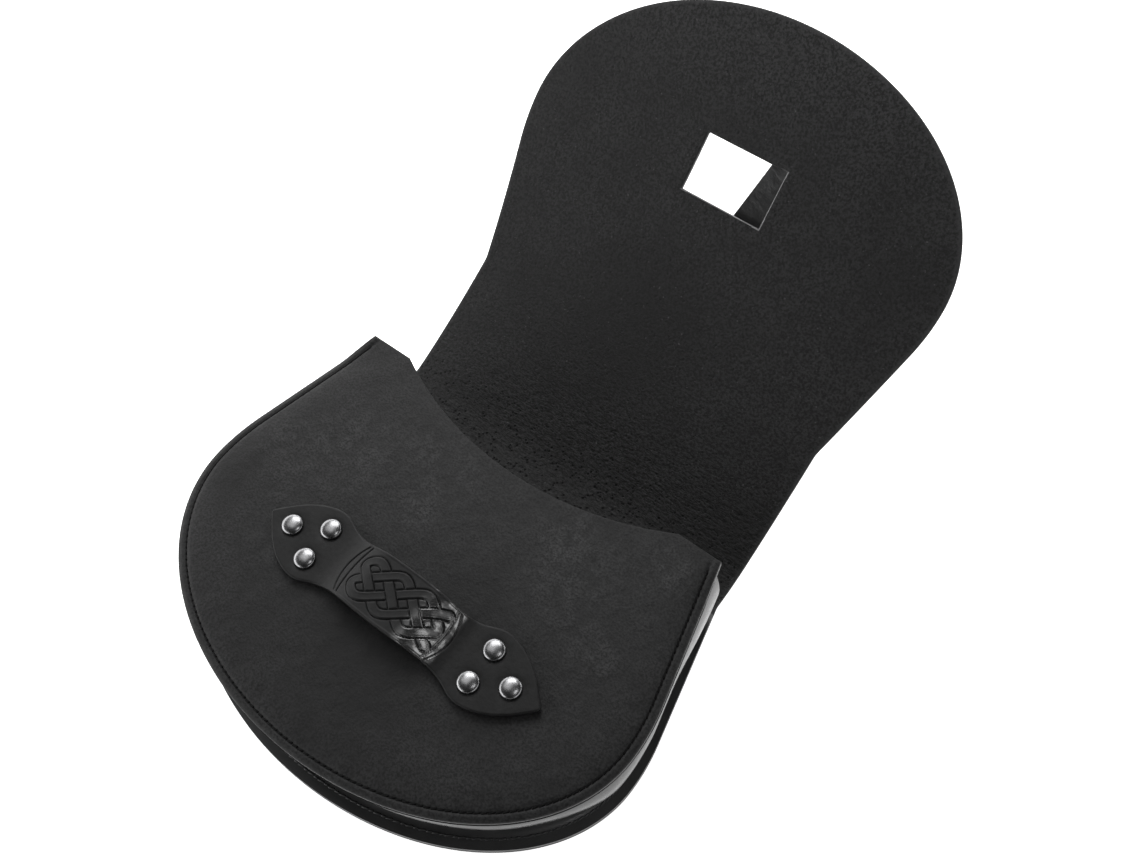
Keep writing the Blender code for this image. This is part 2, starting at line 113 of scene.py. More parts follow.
hide_low, hide_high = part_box("back_and_flap")
LIFT = hide_low.z + HIDE_THICKNESS / 2
SLIDE = hide_low.y - (WIDEST_LINE - BODY_ARC * math.cos(math.pi / 60))
print("bench to floor in mm:", round(1000 * SLIDE, 2), round(1000 * LIFT, 2))

# %% How the flap springs up
BEND_START = 0.0872
CREASE_LENGTH = 0.0400
CREASE_ANGLE = math.radians(26.9)
SPRING_LENGTH = 0.1900
SPRING_ANGLE = math.radians(24.4)


def smoothstep(share):
    share = np.clip(share, 0.0, 1.0)
    return share * share * (3.0 - 2.0 * share)


def hide_angle(along):
    past = np.maximum(0.0, np.asarray(along, float) - BEND_START)
    spring = SPRING_ANGLE * np.maximum(0.0, past - CREASE_LENGTH) / SPRING_LENGTH
    return CREASE_ANGLE * smoothstep(past / CREASE_LENGTH) + spring


BEND_STEP = 0.0001
bend_stations = BEND_START + BEND_STEP * np.arange(2900)
bend_angles = hide_angle(bend_stations[:-1] + BEND_STEP / 2)
bend_y = BEND_START + np.concatenate([[0.0], np.cumsum(BEND_STEP * np.cos(bend_angles))])
bend_z = np.concatenate([[0.0], np.cumsum(BEND_STEP * np.sin(bend_angles))])


def on_hide(x, along, height=0.0):
    """Places over the hide, at a height on the side that faces up and inwards."""
    along = np.asarray(along, float)
    angle = hide_angle(along)
    y = np.where(along > BEND_START, np.interp(along, bend_stations, bend_y), along)
    z = np.where(along > BEND_START, np.interp(along, bend_stations, bend_z), 0.0)
    y = y - height * np.sin(angle) + SLIDE
    z = z + height * np.cos(angle) + LIFT
    return np.stack([np.broadcast_to(x, y.shape), y, z], axis=-1)


print("end of the flap:", on_hide(0.0, LOBE_LINE + LOBE_ARC).round(4), "box:", hide_high)

# %% Slope of the front
FRONT_HEIGHT = 0.0463
FRONT_SLOPE = math.radians(4.86)


def on_front(x, y, height=0.0):
    """Places over the front, whose upper face is the plane of height 0."""
    rise = np.asarray(height, float)
    out_y = y * math.cos(FRONT_SLOPE) - rise * math.sin(FRONT_SLOPE) + SLIDE
    out_z = y * math.sin(FRONT_SLOPE) + rise * math.cos(FRONT_SLOPE) + FRONT_HEIGHT + LIFT
    return np.stack([np.broadcast_to(x, out_y.shape), out_y, out_z], axis=-1)


# %% [markdown]
# ## Working in edit mode
# The same few moves come back for every leather: take one piece in hand, read
# and set the places of its vertices, and apply a modifier.

# %% Take a piece in hand
def hold(piece):
    """Selects one piece alone, as a click on it would."""
    bpy.ops.object.select_all(action="DESELECT")
    piece.select_set(True)
    bpy.context.view_layer.objects.active = piece


def face_outwards(piece):
    hold(piece)
    bpy.ops.object.mode_set(mode="EDIT")
    bpy.ops.mesh.select_all(action="SELECT")
    bpy.ops.mesh.normals_make_consistent(inside=False)
    bpy.ops.object.mode_set(mode="OBJECT")


def places(piece):
    flat = np.empty(3 * len(piece.data.vertices))
    piece.data.vertices.foreach_get("co", flat)
    return flat.reshape(-1, 3)


def move_to(piece, points):
    piece.data.vertices.foreach_set("co", np.ascontiguousarray(points, float).ravel())
    piece.data.update()


def apply(piece, kind, **settings):
    hold(piece)
    modifier = piece.modifiers.new(kind.title(), kind)
    for name, value in settings.items():
        setattr(modifier, name, value)
    bpy.ops.object.modifier_apply(modifier=modifier.name)


# %% Add a piece and keep numbers on it
def named(piece, name):
    piece.name = name
    piece.data.name = name
    return piece


def add_mesh(add, name, **settings):
    """Adds a mesh with nothing else selected, and names it."""
    bpy.ops.object.select_all(action="DESELECT")
    add(**settings)
    return named(bpy.context.object, name)


def keep(piece, name, values):
    """Keeps a number or a place on each vertex, so that a finish can read it."""
    kind, field = ("FLOAT", "value") if values.ndim == 1 else ("FLOAT_VECTOR", "vector")
    layer = piece.data.attributes.new(name, kind, "POINT")
    layer.data.foreach_set(field, np.ascontiguousarray(values, float).ravel())


def keep_bench(piece):
    """Keeps each vertex's place on the bench, and gives the places back."""
    bench = places(piece)
    keep(piece, "bench", bench)
    return bench


# %% Hand a piece over
def ready(piece, slot, *nodes):
    """A finished piece rides on the pouch and stands for its solids."""
    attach(piece, "root")
    if nodes:
        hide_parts(*nodes)
    hold(piece)
    bpy.ops.object.shade_smooth_by_angle(angle=math.radians(50))
    print(piece.name, len(piece.data.polygons), "faces")


# %% [markdown]
# ## Cutting a leather
# A leather is cut out on a pattern, and its edge is burnished round. Here a
# filled circle is drawn round the pattern and inset ring by ring, since the
# seams and the rounding follow the edge. Its middle is ruled with bisect lines,
# because leather only bends evenly in a mesh of even rows. A subdivided plane
# would be quicker, but its edge would be a staircase.

# %% Lines and outlines
def even_lines(low, high, step):
    count = max(1, round((high - low) / step))
    return low + (high - low) * (np.arange(1, count)) / count


def unit(steps):
    return steps / np.linalg.norm(steps, axis=1)[:, None]


def inward_of(outline):
    """Unit steps into a closed outline that runs anticlockwise."""
    ahead = unit(np.roll(outline, -1, axis=0) - np.roll(outline, 1, axis=0))
    return np.column_stack([-ahead[:, 1], ahead[:, 0]])


def walk(points, count):
    """The same line in count even steps."""
    lengths = np.concatenate([[0.0], np.cumsum(np.linalg.norm(np.diff(points, axis=0), axis=1))])
    at = np.linspace(0.0, lengths[-1], count + 1)
    return np.column_stack([np.interp(at, lengths, points[:, i]) for i in range(2)])


def line_length(points):
    return float(np.linalg.norm(np.diff(points, axis=0), axis=1).sum())


# %% Cut a leather on its pattern
def nearest(points, known):
    """For each point, which of the known places it is nearest to."""
    found = np.empty(len(points), int)
    for first in range(0, len(points), 1000):
        gaps = points[first:first + 1000, None, :2] - known[None, :, :2]
        found[first:first + 1000] = (gaps**2).sum(axis=2).argmin(axis=1)
    return found


def cut_pattern(name, outline, depths, across, along, thickness, burnish, inward=None):
    """A flat leather on an outline, with a ring at each depth and a grid of ruled lines."""
    add = bpy.ops.mesh.primitive_circle_add
    piece = add_mesh(add, name, vertices=len(outline), radius=0.1, fill_type="NGON")
    points = np.column_stack([outline, np.zeros(len(outline))])
    steps = np.column_stack([inward_of(outline) if inward is None else inward, np.zeros(len(outline))])
    move_to(piece, points)
    rings = [points]
    for depth in depths:
        bpy.ops.object.mode_set(mode="EDIT")
        bpy.ops.mesh.inset(thickness=0.00002, use_boundary=True)
        bpy.ops.object.mode_set(mode="OBJECT")
        inner = np.zeros(len(piece.data.vertices), bool)
        piece.data.vertices.foreach_get("select", inner)
        now = places(piece)
        order = nearest(now[inner], rings[-1])
        rings.append(points + depth * steps)
        now[inner] = rings[-1][order]
        move_to(piece, now)
    ring_place = nearest(places(piece), np.concatenate(rings))
    bpy.ops.object.mode_set(mode="EDIT")
    bpy.ops.mesh.hide(unselected=True)
    lines = [((x, 0, 0), (1, 0, 0)) for x in across] + [((0, y, 0), (0, 1, 0)) for y in along]
    for place, normal in lines:
        bpy.ops.mesh.select_all(action="SELECT")
        bpy.ops.mesh.bisect(plane_co=place, plane_no=normal, threshold=0.000001)
    bpy.ops.mesh.reveal(select=False)
    bpy.ops.object.mode_set(mode="OBJECT")
    face_outwards(piece)
    if piece.data.polygons[0].normal.z < 0:
        piece.data.flip_normals()
    flat_count = len(piece.data.vertices)
    for _ in ("upper side", "cut edge", "under side"):
        piece.data.materials.append(None)
    apply(piece, "SOLIDIFY", thickness=thickness, offset=0.0, material_offset_rim=1, material_offset=2)
    points = places(piece)
    index = np.arange(len(points)) % flat_count
    on_ring = index < len(ring_place)
    ring_place = ring_place[np.minimum(index, len(ring_place) - 1)]
    depth = np.where(on_ring, np.array([0.0, *depths])[ring_place // len(outline)], depths[-1])
    gone = burnish - np.sqrt(np.maximum(0.0, burnish**2 - np.maximum(0.0, burnish - depth) ** 2))
    points[:, 2] -= np.sign(points[:, 2]) * gone
    move_to(piece, points)
    return piece, np.where(on_ring, ring_place % len(outline), -1)


# %% Distances from a line
def along_line(line, points):
    """Distance of each point from a line, and how far along the line it is, from 0 to 1."""
    starts, spans = line[:-1], np.diff(line, axis=0)
    away, along = np.empty(len(points)), np.empty(len(points))
    for first in range(0, len(points), 2000):
        some = points[first:first + 2000, None, :] - starts[None]
        share = np.clip((some * spans).sum(2) / np.maximum((spans**2).sum(1), 1e-16), 0.0, 1.0)
        gap = np.linalg.norm(some - share[:, :, None] * spans, axis=2)
        best = gap.argmin(axis=1)
        each = np.arange(len(best))
        away[first:first + 2000] = gap[each, best]
        along[first:first + 2000] = (best + share[each, best]) / len(spans)
    return away, along


def from_edge(outline, points):
    """Distance of each point from a closed outline."""
    return along_line(np.concatenate([outline, outline[:1]]), points[:, :2])[0]


def line_mask(distance, centre, width):
    """1 on a line at a distance and 0 away from it."""
    return np.exp(-((distance - centre) / width) ** 2)


# %% [markdown]
# ## The hide that makes the back and the flap
# One hide is cut to an hourglass with two round ends. Its outline is drawn row
# by row on the bench, from the sewn round end over the waist to the flap. The
# window is punched while it is still flat, and only then is it bent.

# %% Outline of the hide
def d_half_width(from_widest, widest, arc, narrow, taper):
    """Half width of a D outline at a distance from its widest line."""
    from_widest = np.asarray(from_widest, float)
    round_side = widest * np.sqrt(np.maximum(0.0, 1.0 - (from_widest / arc) ** 2))
    slope = (widest - narrow) / (taper - TAPER_EASE)
    eased = widest - slope * from_widest**2 / (4.0 * TAPER_EASE)
    straight = widest - slope * (from_widest - TAPER_EASE)
    side = np.where(from_widest < 2.0 * TAPER_EASE, eased, straight)
    return np.where(from_widest <= 0.0, round_side, side)


def hide_half_width(along):
    along = np.asarray(along, float)
    body = d_half_width(along - WIDEST_LINE, BODY_HALF_WIDTH, BODY_ARC, WAIST_HALF_WIDTH, BODY_TAPER)
    lobe = d_half_width(LOBE_LINE - along, LOBE_HALF_WIDTH, LOBE_ARC, WAIST_HALF_WIDTH, LOBE_TAPER)
    middle = np.where(along <= WAIST_END, WAIST_HALF_WIDTH, lobe)
    return np.where(along <= WAIST_START, body, middle)


quarter = np.linspace(0.0, math.pi / 2, 120)
hide_levels = np.concatenate([
    WIDEST_LINE - BODY_ARC * np.cos(quarter),
    np.linspace(WIDEST_LINE, LOBE_LINE, 400)[1:],
    LOBE_LINE + LOBE_ARC * np.sin(quarter)[1:],
])
right_side = np.column_stack([hide_half_width(hide_levels), hide_levels])
left_side = right_side[::-1] * (-1.0, 1.0)
hide_around = np.concatenate([right_side, left_side[1:]])
hide_outline = walk(hide_around, round(line_length(hide_around) / 0.0011))[:-1]
print("hide outline", len(hide_outline), "points, length", round(line_length(hide_around), 3))

# %% The window's place
WINDOW_CENTRE = 0.2705
WINDOW_WIDTH = 0.0428
WINDOW_HEIGHT = 0.0282
WINDOW_CORNER = 0.0016
WINDOW_CLEAR = 0.0011


def clear_of_window(lines, centre, size):
    """Leaves out the lines that would crowd a side or a corner of the window."""
    near = np.abs(np.abs(lines - centre) - size / 2)
    return lines[(near > WINDOW_CLEAR) & (np.abs(near - WINDOW_CORNER) > WINDOW_CLEAR / 3)]


# %% Cut the hide
EDGE_ROUNDING = 0.0006
HIDE_RINGS = (0.00012, 0.00035, 0.0007, 0.0012, 0.0022, 0.0036)
hide_across = clear_of_window(even_lines(-0.114, 0.114, 0.006), 0.0, WINDOW_WIDTH)
hide_along = np.concatenate([
    even_lines(-0.068, BEND_START, 0.009),
    even_lines(BEND_START, 0.170, 0.0022),
    even_lines(0.170, 0.342, 0.004),
])
hide_along = clear_of_window(hide_along, WINDOW_CENTRE, WINDOW_HEIGHT)
hide, _ = cut_pattern(
    "back_and_flap_hide", hide_outline, HIDE_RINGS, hide_across, hide_along, HIDE_THICKNESS, EDGE_ROUNDING,
)
print("hide", len(hide.data.vertices), "vertices")

# %% Punch the window and ease its edge
WINDOW_ROUNDING = 0.00070
add = bpy.ops.mesh.primitive_cube_add
punch = add_mesh(add, "window_punch", size=1.0, location=(0.0, WINDOW_CENTRE, 0.0))
punch.scale = (WINDOW_WIDTH, WINDOW_HEIGHT, 0.01)
bpy.ops.object.transform_apply(location=True, rotation=False, scale=True)
apply(hide, "BOOLEAN", object=punch, operation="DIFFERENCE", solver="EXACT")
bpy.data.objects.remove(punch)


def in_window_wall(point, slack):
    """Whether a place lies on the wall of the window."""
    past_x = abs(point[0]) - WINDOW_WIDTH / 2
    past_y = abs(point[1] - WINDOW_CENTRE) - WINDOW_HEIGHT / 2
    return past_x < slack and past_y < slack and max(past_x, past_y) > -0.004


hold(hide)
bpy.ops.object.mode_set(mode="EDIT")
bpy.ops.mesh.select_all(action="DESELECT")
form = bmesh.from_edit_mesh(hide.data)
form.normal_update()
for edge in form.edges:
    middle = (edge.verts[0].co + edge.verts[1].co) / 2
    if middle.z > 0.0 and len(edge.link_faces) == 2 and in_window_wall(middle, 0.0001):
        edge.select = edge.calc_face_angle(0.0) > math.radians(60)
form.select_flush_mode()
bmesh.update_edit_mesh(hide.data)
bpy.ops.mesh.bevel(offset=WINDOW_ROUNDING, segments=4, clamp_overlap=False)
bpy.ops.object.mode_set(mode="OBJECT")
# Faces of the window's wall take the cut edge's slot; the rounded faces on its right and lower sides take a
# pale slot, a painted highlight.
for face in hide.data.polygons:
    if in_window_wall(face.center, 0.0010) and abs(face.normal.z) < 0.98:
        highlighted_side = face.normal.x < -0.2 or face.normal.y > 0.2
        face.material_index = 3 if highlighted_side and face.normal.z > 0.1 else 1
print("hide with its window", len(hide.data.vertices), "vertices")

# %% [markdown]
# ## Bending the hide
# The leather lies flat under the pouch, creases just past the mouth and springs
# up. A real hide is never quite even there, so shallow waves that run across
# it fade in from the mouth. A second, finer set is the crease itself.

# %% Waves of the hide
WAVE_SIZE = 0.055
WAVE_RISE = 0.00045
FOLD_SIZE = 0.0085
FOLD_RISE = 0.00012


def soft_noise(points, size, seed):
    """Smooth noise from -1 to 1 at each point, with waves of the given size."""
    shift = Vector((seed * 7.31, seed * 3.17, seed * 1.73))
    return np.array([noise.noise(Vector(point) / size + shift) for point in points])


bench = keep_bench(hide)
past_mouth = smoothstep((bench[:, 1] - BEND_START - 0.006) / 0.030)
crease = past_mouth * (1.0 - smoothstep((bench[:, 1] - 0.150) / 0.045))
waves = WAVE_RISE * soft_noise(bench, WAVE_SIZE, 1)
folds = soft_noise(bench * (0.35, 1.0, 1.0), FOLD_SIZE, 2)
lift = past_mouth * waves + FOLD_RISE * crease * folds
keep(hide, "rim", from_edge(hide_outline, bench))
move_to(hide, on_hide(bench[:, 0], bench[:, 1], bench[:, 2] + lift))
ready(hide, "flesh_side_leather", "back_and_flap")

# %% [markdown]
# ## The front
# The front is a second hide, cut to a D with two short shoulders and a scooped
# mouth. The stitches pull its margin down, so a valley runs along the seam and
# each stitch dimples it. The outline has three points to a stitch, so that the
# dimples fall on the holes.

# %% Outline of the front
FRONT_ARC = 0.0800
FRONT_TOP = 0.0938
FRONT_TOP_HALF_WIDTH = 0.0966
SHOULDER_WIDTH = 0.0215
SCOOP_DEPTH = 0.0186
STITCH_PITCH = 0.0029
SEAM_LINE = 0.0038
SEAM_MARGIN = 0.0070
SEAM_ROLL = 0.0026
SEAM_ROLL_REACH = 0.0160


def sewn_u(arc, top, top_half_width):
    """The sewn outline from the right top corner round the bottom to the left one."""
    levels = np.concatenate([
        np.linspace(top, WIDEST_LINE, 300),
        WIDEST_LINE - arc * np.sin(quarter)[1:],
    ])
    taper = top - WIDEST_LINE
    half = d_half_width(levels - WIDEST_LINE, BODY_HALF_WIDTH, arc, top_half_width, taper)
    right = np.column_stack([half, levels])
    left = right[::-1] * (-1.0, 1.0)
    return np.concatenate([right, left[1:]])


front_u_dense = sewn_u(FRONT_ARC, FRONT_TOP, FRONT_TOP_HALF_WIDTH)[::-1]
stitch_count = round(line_length(front_u_dense) / STITCH_PITCH)
front_u = walk(front_u_dense, 3 * stitch_count)
half_mouth = FRONT_TOP_HALF_WIDTH - SHOULDER_WIDTH
scoop_radius = (half_mouth**2 + SCOOP_DEPTH**2) / (2 * SCOOP_DEPTH)
scoop_turn = np.linspace(1.0, -1.0, 161) * math.asin(half_mouth / scoop_radius)
scoop = np.column_stack([
    scoop_radius * np.sin(scoop_turn),
    FRONT_TOP - SCOOP_DEPTH + scoop_radius * (1 - np.cos(scoop_turn)),
])
shoulder = walk(np.array([front_u[-1], scoop[0]]), 18)[1:-1]
front_outline = np.concatenate([front_u, shoulder, scoop, shoulder[::-1] * (-1.0, 1.0)])
print("front:", stitch_count, "stitches, outline", len(front_outline), "points")

# %% Steps into the front from its outline
CORNER_REACH = 0.013


def steer_at_corners(outline, inward, corners):
    """Turns the inward steps near a sharp corner, so that inset rings don't cross there."""
    steered = inward.copy()
    for corner in corners:
        before, after = outline[corner - 1], outline[(corner + 1) % len(outline)]
        arms = [(side - outline[corner]) / np.linalg.norm(side - outline[corner]) for side in (before, after)]
        together = float(arms[0] @ arms[1])
        sine = math.sqrt(1.0 - together**2)
        to_point = outline - outline[corner]
        away = np.linalg.norm(to_point, axis=1)
        share = np.maximum(0.0, 1.0 - away / CORNER_REACH) * (1.0 + together) / sine
        steered += share[:, None] * to_point / np.maximum(away, 1e-9)[:, None]
        steered[corner] = (arms[0] + arms[1]) / sine
    return steered


right_corner = len(front_u) - 1
scoop_right = right_corner + len(shoulder) + 1
scoop_left = scoop_right + len(scoop) - 1
front_inward = steer_at_corners(
    front_outline, inward_of(front_outline), (0, right_corner, scoop_right, scoop_left)
)

# %% Cut the front
FRONT_ROUNDING = 0.0007
FRONT_RINGS = (
    0.00015, 0.0004, 0.0008, 0.0014, 0.0022, 0.0029, 0.0034, 0.0038, 0.0042, 0.0048, 0.0058, 0.0074,
)
front, front_around = cut_pattern(
    "front_hide", front_outline, FRONT_RINGS, even_lines(-0.112, 0.112, 0.005),
    even_lines(-0.070, 0.092, 0.005), FRONT_THICKNESS, FRONT_ROUNDING, front_inward,
)

# %% Shape the front's seam
def seam_drop(y, inset):
    """How far the front is pulled down at a distance in from its sewn edge."""
    near = np.maximum(0.0, 1.0 - inset / SEAM_ROLL_REACH)
    return SEAM_ROLL * near**2 * smoothstep((FRONT_TOP - y) / SHOULDER_WIDTH)


VALLEY_WIDTH = 0.00065
VALLEY_DEPTH = 0.00042
DIMPLE_DEPTH = 0.00028
PILLOW_LINE = 0.0019
PILLOW_WIDTH = 0.0010
PILLOW_RISE = 0.00022
CROWN_SIZE = 0.040
CROWN_RISE = 0.00018

bench = keep_bench(front)
depth, _ = along_line(front_u, bench[:, :2])
at_hole = (front_around >= 0) & (front_around < len(front_u)) & (front_around % 3 == 0)
valley = line_mask(depth, SEAM_LINE, VALLEY_WIDTH)
pillow = line_mask(depth, PILLOW_LINE, PILLOW_WIDTH)
near_u = smoothstep((FRONT_TOP + 0.002 - bench[:, 1]) / 0.004)
roll = seam_drop(bench[:, 1], depth)
fall = roll + near_u * (valley * (VALLEY_DEPTH + DIMPLE_DEPTH * at_hole) - PILLOW_RISE * pillow)
inner = smoothstep((depth - 0.010) / 0.030)
crown = CROWN_RISE * inner * soft_noise(bench, CROWN_SIZE, 5)
height = bench[:, 2] - FRONT_THICKNESS / 2
upper = bench[:, 2] > 0
height = height - np.where(upper, fall, roll)
move_to(front, on_front(bench[:, 0], bench[:, 1], height + crown))
ready(front, "matt_leather", "front_panel")

# %% [markdown]
# ## The gusset
# A strip of smooth leather runs round the sewn edge. Its two margins are folded
# outwards, so that one lies under the front and one on the back, and the web
# between them bows and ripples a little. It is one sheet of a regular weave,
# so a grid is laid along the seam and each of its rows is set on a section.

# %% Sections of the gusset
GUSSET_FOLD_RADIUS = 0.0034
GUSSET_FOOT_RADIUS = 0.0075
GUSSET_FOOT_FLARE = 0.0042
FLARE_FROM = 0.10
FLARE_FADE = 0.60
WEB_BOW = 0.0058
MOUTH_BULGE = 0.0024
MOUTH_BULGE_REACH = 0.0450
RIPPLE = 0.0009
RIPPLE_SIZE = 0.034
GUSSET_ROWS = 420
FOLD_STEPS = 7
WEB_STEPS = 16

mouth_y = FRONT_TOP * math.cos(FRONT_SLOPE)
back_u_dense = sewn_u(BODY_ARC, mouth_y, float(hide_half_width(mouth_y)))[::-1]


def paired_rows(count):
    """Places on both sewn edges that face each other, and the step into the pouch."""
    turn = np.linspace(0.0, 1.0, count + 1)
    lengths = np.linalg.norm(np.diff(front_u_dense, axis=0), axis=1)
    share = np.concatenate([[0.0], np.cumsum(lengths)]) / lengths.sum()
    both = [np.column_stack([np.interp(turn, share, edge[:, i]) for i in range(2)])
            for edge in (front_u_dense, back_u_dense)]
    ahead = unit(np.gradient(both[1], axis=0))
    plan = np.column_stack([-ahead[:, 1], ahead[:, 0]])
    to_mouth = smoothstep(1.0 - (FRONT_TOP - both[0][:, 1]) / MOUTH_BULGE_REACH)
    plan[:, 1] *= 1.0 - to_mouth
    return both[0], both[1], unit(plan), to_mouth


row_front, row_back, row_in, row_bulge = paired_rows(GUSSET_ROWS)


def under_front(inset):
    place = row_front + inset * row_in
    drop = FRONT_THICKNESS + SEAT + GUSSET_THICKNESS / 2 + seam_drop(row_front[:, 1], inset)
    return on_front(place[:, 0], place[:, 1], -drop)


def over_back(inset):
    place = row_back + inset * row_in
    rise = np.full(len(place), HIDE_THICKNESS / 2 + SEAT + GUSSET_THICKNESS / 2)
    return np.column_stack([place[:, 0], place[:, 1] + SLIDE, rise + LIFT])


def gusset_lines():
    """The lines that run along the gusset, from the front's edge to the back's."""
    inset = SEAM_MARGIN + GUSSET_THICKNESS / 2
    flare = smoothstep((row_in[:, 1:] - FLARE_FROM) / FLARE_FADE)
    foot_radius = GUSSET_FOLD_RADIUS + flare * (GUSSET_FOOT_RADIUS - GUSSET_FOLD_RADIUS)
    foot_inset = inset + flare * GUSSET_FOOT_FLARE
    flat, foot_flat = inset - GUSSET_FOLD_RADIUS, foot_inset - foot_radius
    top, foot = under_front(inset), over_back(foot_inset)
    down = unit(foot - top)
    out = np.column_stack([-row_in, np.zeros(len(row_in))])
    turns = np.linspace(0.0, math.pi / 2, FOLD_STEPS + 1)
    fold = [(1.0 - math.sin(turn), 1.0 - math.cos(turn)) for turn in turns]
    lines = [under_front(flat * share) for share in (0.0, 0.08, 0.3, 0.6, 0.85)]
    over = under_front(flat) - top
    lines += [top + over * across + GUSSET_FOLD_RADIUS * drop * down for across, drop in fold]
    first, last = lines[-1], foot - foot_radius * down
    bow = WEB_BOW + MOUTH_BULGE * row_bulge
    for share in np.linspace(0.0, 1.0, WEB_STEPS + 1)[1:-1]:
        middle = first + (last - first) * share
        ripple = RIPPLE * soft_noise(middle * (1.0, 1.0, 0.45), RIPPLE_SIZE, 9)
        lines.append(middle + out * ((bow + ripple) * math.sin(math.pi * share) ** 0.7)[:, None])
    over = over_back(foot_flat) - foot
    lines += [foot + over * across - foot_radius * drop * down for across, drop in reversed(fold)]
    lines += [over_back(foot_flat * share) for share in (0.85, 0.6, 0.3, 0.08, 0.0)]
    return np.stack(lines, axis=1)


# %% Lay the gusset
sections = gusset_lines()
columns = sections.shape[1] - 1
add = bpy.ops.mesh.primitive_grid_add
gusset = add_mesh(add, "gusset_strip", x_subdivisions=columns, y_subdivisions=GUSSET_ROWS, size=1.0)
grid = places(gusset)
column = np.rint((grid[:, 0] + 0.5) * columns).astype(int)
row = np.rint((grid[:, 1] + 0.5) * GUSSET_ROWS).astype(int)
move_to(gusset, sections[row, column])
face_outwards(gusset)
apply(gusset, "SOLIDIFY", thickness=GUSSET_THICKNESS, offset=0.0, use_even_offset=True)
ready(gusset, "smooth_leather", "gusset")
steps_across = np.linalg.norm(np.diff(sections, axis=1), axis=2)
steps_along = np.linalg.norm(np.diff(sections, axis=0), axis=2)
strip_width, strip_length = float(steps_across.sum(axis=1).max()), float(steps_along.sum(axis=0).max())
flat = (strip_width, strip_length)
print("gusset cut", round(1000 * strip_width, 1), "x", round(1000 * strip_length, 1), "mm")

# %% [markdown]
# ## The riveted strap
# A stiff strap with a leaf-shaped plate at each end is riveted to the front. Its
# middle stands up in a hump and is embossed with a traditional interlace. The
# interlace is worked out here from its own rule: a path that runs at a slant
# and turns at the border, over and under itself by turns.

# %% Outline of the riveted strap
LOOP_THICKNESS = 0.0030
LOOP_LEFT_REACH = 0.0708
LOOP_RIGHT_REACH = 0.0755
LOOP_PLATE_HALF_WIDTH = 0.0178
LOOP_MIDDLE_HALF_WIDTH = 0.0138
LOOP_RISE = 0.0062
LOOP_FOOT = 0.0350
LOOP_CROWN = 0.0120
LOOP_PLATE_ROWS = (
    # share of the reach, share of the half width
    (1.000, 0.035), (0.955, 0.235), (0.875, 0.560), (0.780, 0.825), (0.680, 0.975),
    (0.595, 1.000), (0.545, 0.930), (0.475, 0.800), (0.400, 0.735), (0.335, 0.720),
)


def loop_rows():
    """(x, half width) of the riveted strap from its left tip to its right one."""
    rows = [(-share * LOOP_LEFT_REACH, width * LOOP_PLATE_HALF_WIDTH) for share, width in LOOP_PLATE_ROWS]
    inner_share, inner_width = LOOP_PLATE_ROWS[-1]
    neck = inner_width * LOOP_PLATE_HALF_WIDTH
    for share in (-0.7, -0.35, 0.0, 0.35, 0.7):
        swell = (LOOP_MIDDLE_HALF_WIDTH - neck) * (1.0 - share**2)
        rows.append((share * inner_share * LOOP_LEFT_REACH, neck + swell))
    for share, width in reversed(LOOP_PLATE_ROWS):
        rows.append((share * LOOP_RIGHT_REACH, width * LOOP_PLATE_HALF_WIDTH))
    return np.array(rows)


def rounded_line(points, passes=2):
    """Corner cutting, which turns a line of few points into a smooth one."""
    for _ in range(passes):
        inner = np.stack([0.75 * points[:-1] + 0.25 * points[1:], 0.25 * points[:-1] + 0.75 * points[1:]], 1)
        points = np.concatenate([points[:1], inner.reshape(-1, 2), points[-1:]])
    return points


lower_side = rounded_line(loop_rows() * (1.0, -1.0))
upper_side = lower_side[::-1] * (1.0, -1.0)
loop_around = np.concatenate([lower_side, upper_side, lower_side[:1]])
loop_outline = walk(loop_around, 460)[:-1]
print("riveted strap outline", len(loop_outline), "points")

# %% Height of the riveted strap
def loop_height(x):
    rise = smoothstep((LOOP_FOOT - np.abs(x)) / (LOOP_FOOT - LOOP_CROWN))
    return SEAT + LOOP_THICKNESS / 2 + LOOP_RISE * rise


# %% [markdown]
# ### The interlace
# On a real strap the bands are cut in with a knife, and the ground is beaten
# down round them. Here every vertex of the field looks up its distance from
# the path, and sinks or rises by it. Sculpting by hand could do it too, but a
# rule keeps the bands even, and turns the path over and under without a miss.

# %% The interlace's path
KNOT_CENTRE = 0.0024
KNOT_HALF_LENGTH = 0.0229
KNOT_HALF_WIDTH = 0.0106
KNOT_LONG = 3.5
KNOT_WIDE = 2.0
KNOT_LOOP = 28.0
KNOT_STEP = 0.02
KNOT_SOFTNESS = 0.50
BAND_HALF_WIDTH = 0.0020
END_ARC_CENTRE = 0.0018
# x in the middle, and how much nearer each arc ends
END_ARCS = ((0.0248, 0.0022), (0.0280, 0.0046))


def there_and_back(at, length):
    return length - np.abs(at % (2 * length) - length)


def knot_path():
    """A closed path that runs at a slant and turns back at the border, as in a plait."""
    at = np.arange(0.0, KNOT_LOOP, KNOT_STEP)
    x = there_and_back(at + 0.5, KNOT_LONG)
    y = there_and_back(at, KNOT_WIDE)
    rising = np.sign(np.roll(x, -1) - x) * np.sign(np.roll(y, -1) - y)
    over = -rising * np.cos(2 * math.pi * y) > 0
    reach = round(KNOT_SOFTNESS / KNOT_STEP)
    weight = np.hanning(2 * reach + 3)[1:-1]
    weight /= weight.sum()

    def softened(values):
        wrapped = np.concatenate([values[-reach:], values, values[:reach]])
        return np.convolve(wrapped, weight, mode="valid")

    x = (softened(x) / KNOT_LONG * 2 - 1) * KNOT_HALF_LENGTH
    y = (softened(y) / KNOT_WIDE * 2 - 1) * KNOT_HALF_WIDTH
    y = y * (1.0 - 0.20 * (x / KNOT_HALF_LENGTH) ** 4)
    return np.column_stack([x + KNOT_CENTRE, y]), over


path, path_over = knot_path()
print("interlace path", len(path), "points")

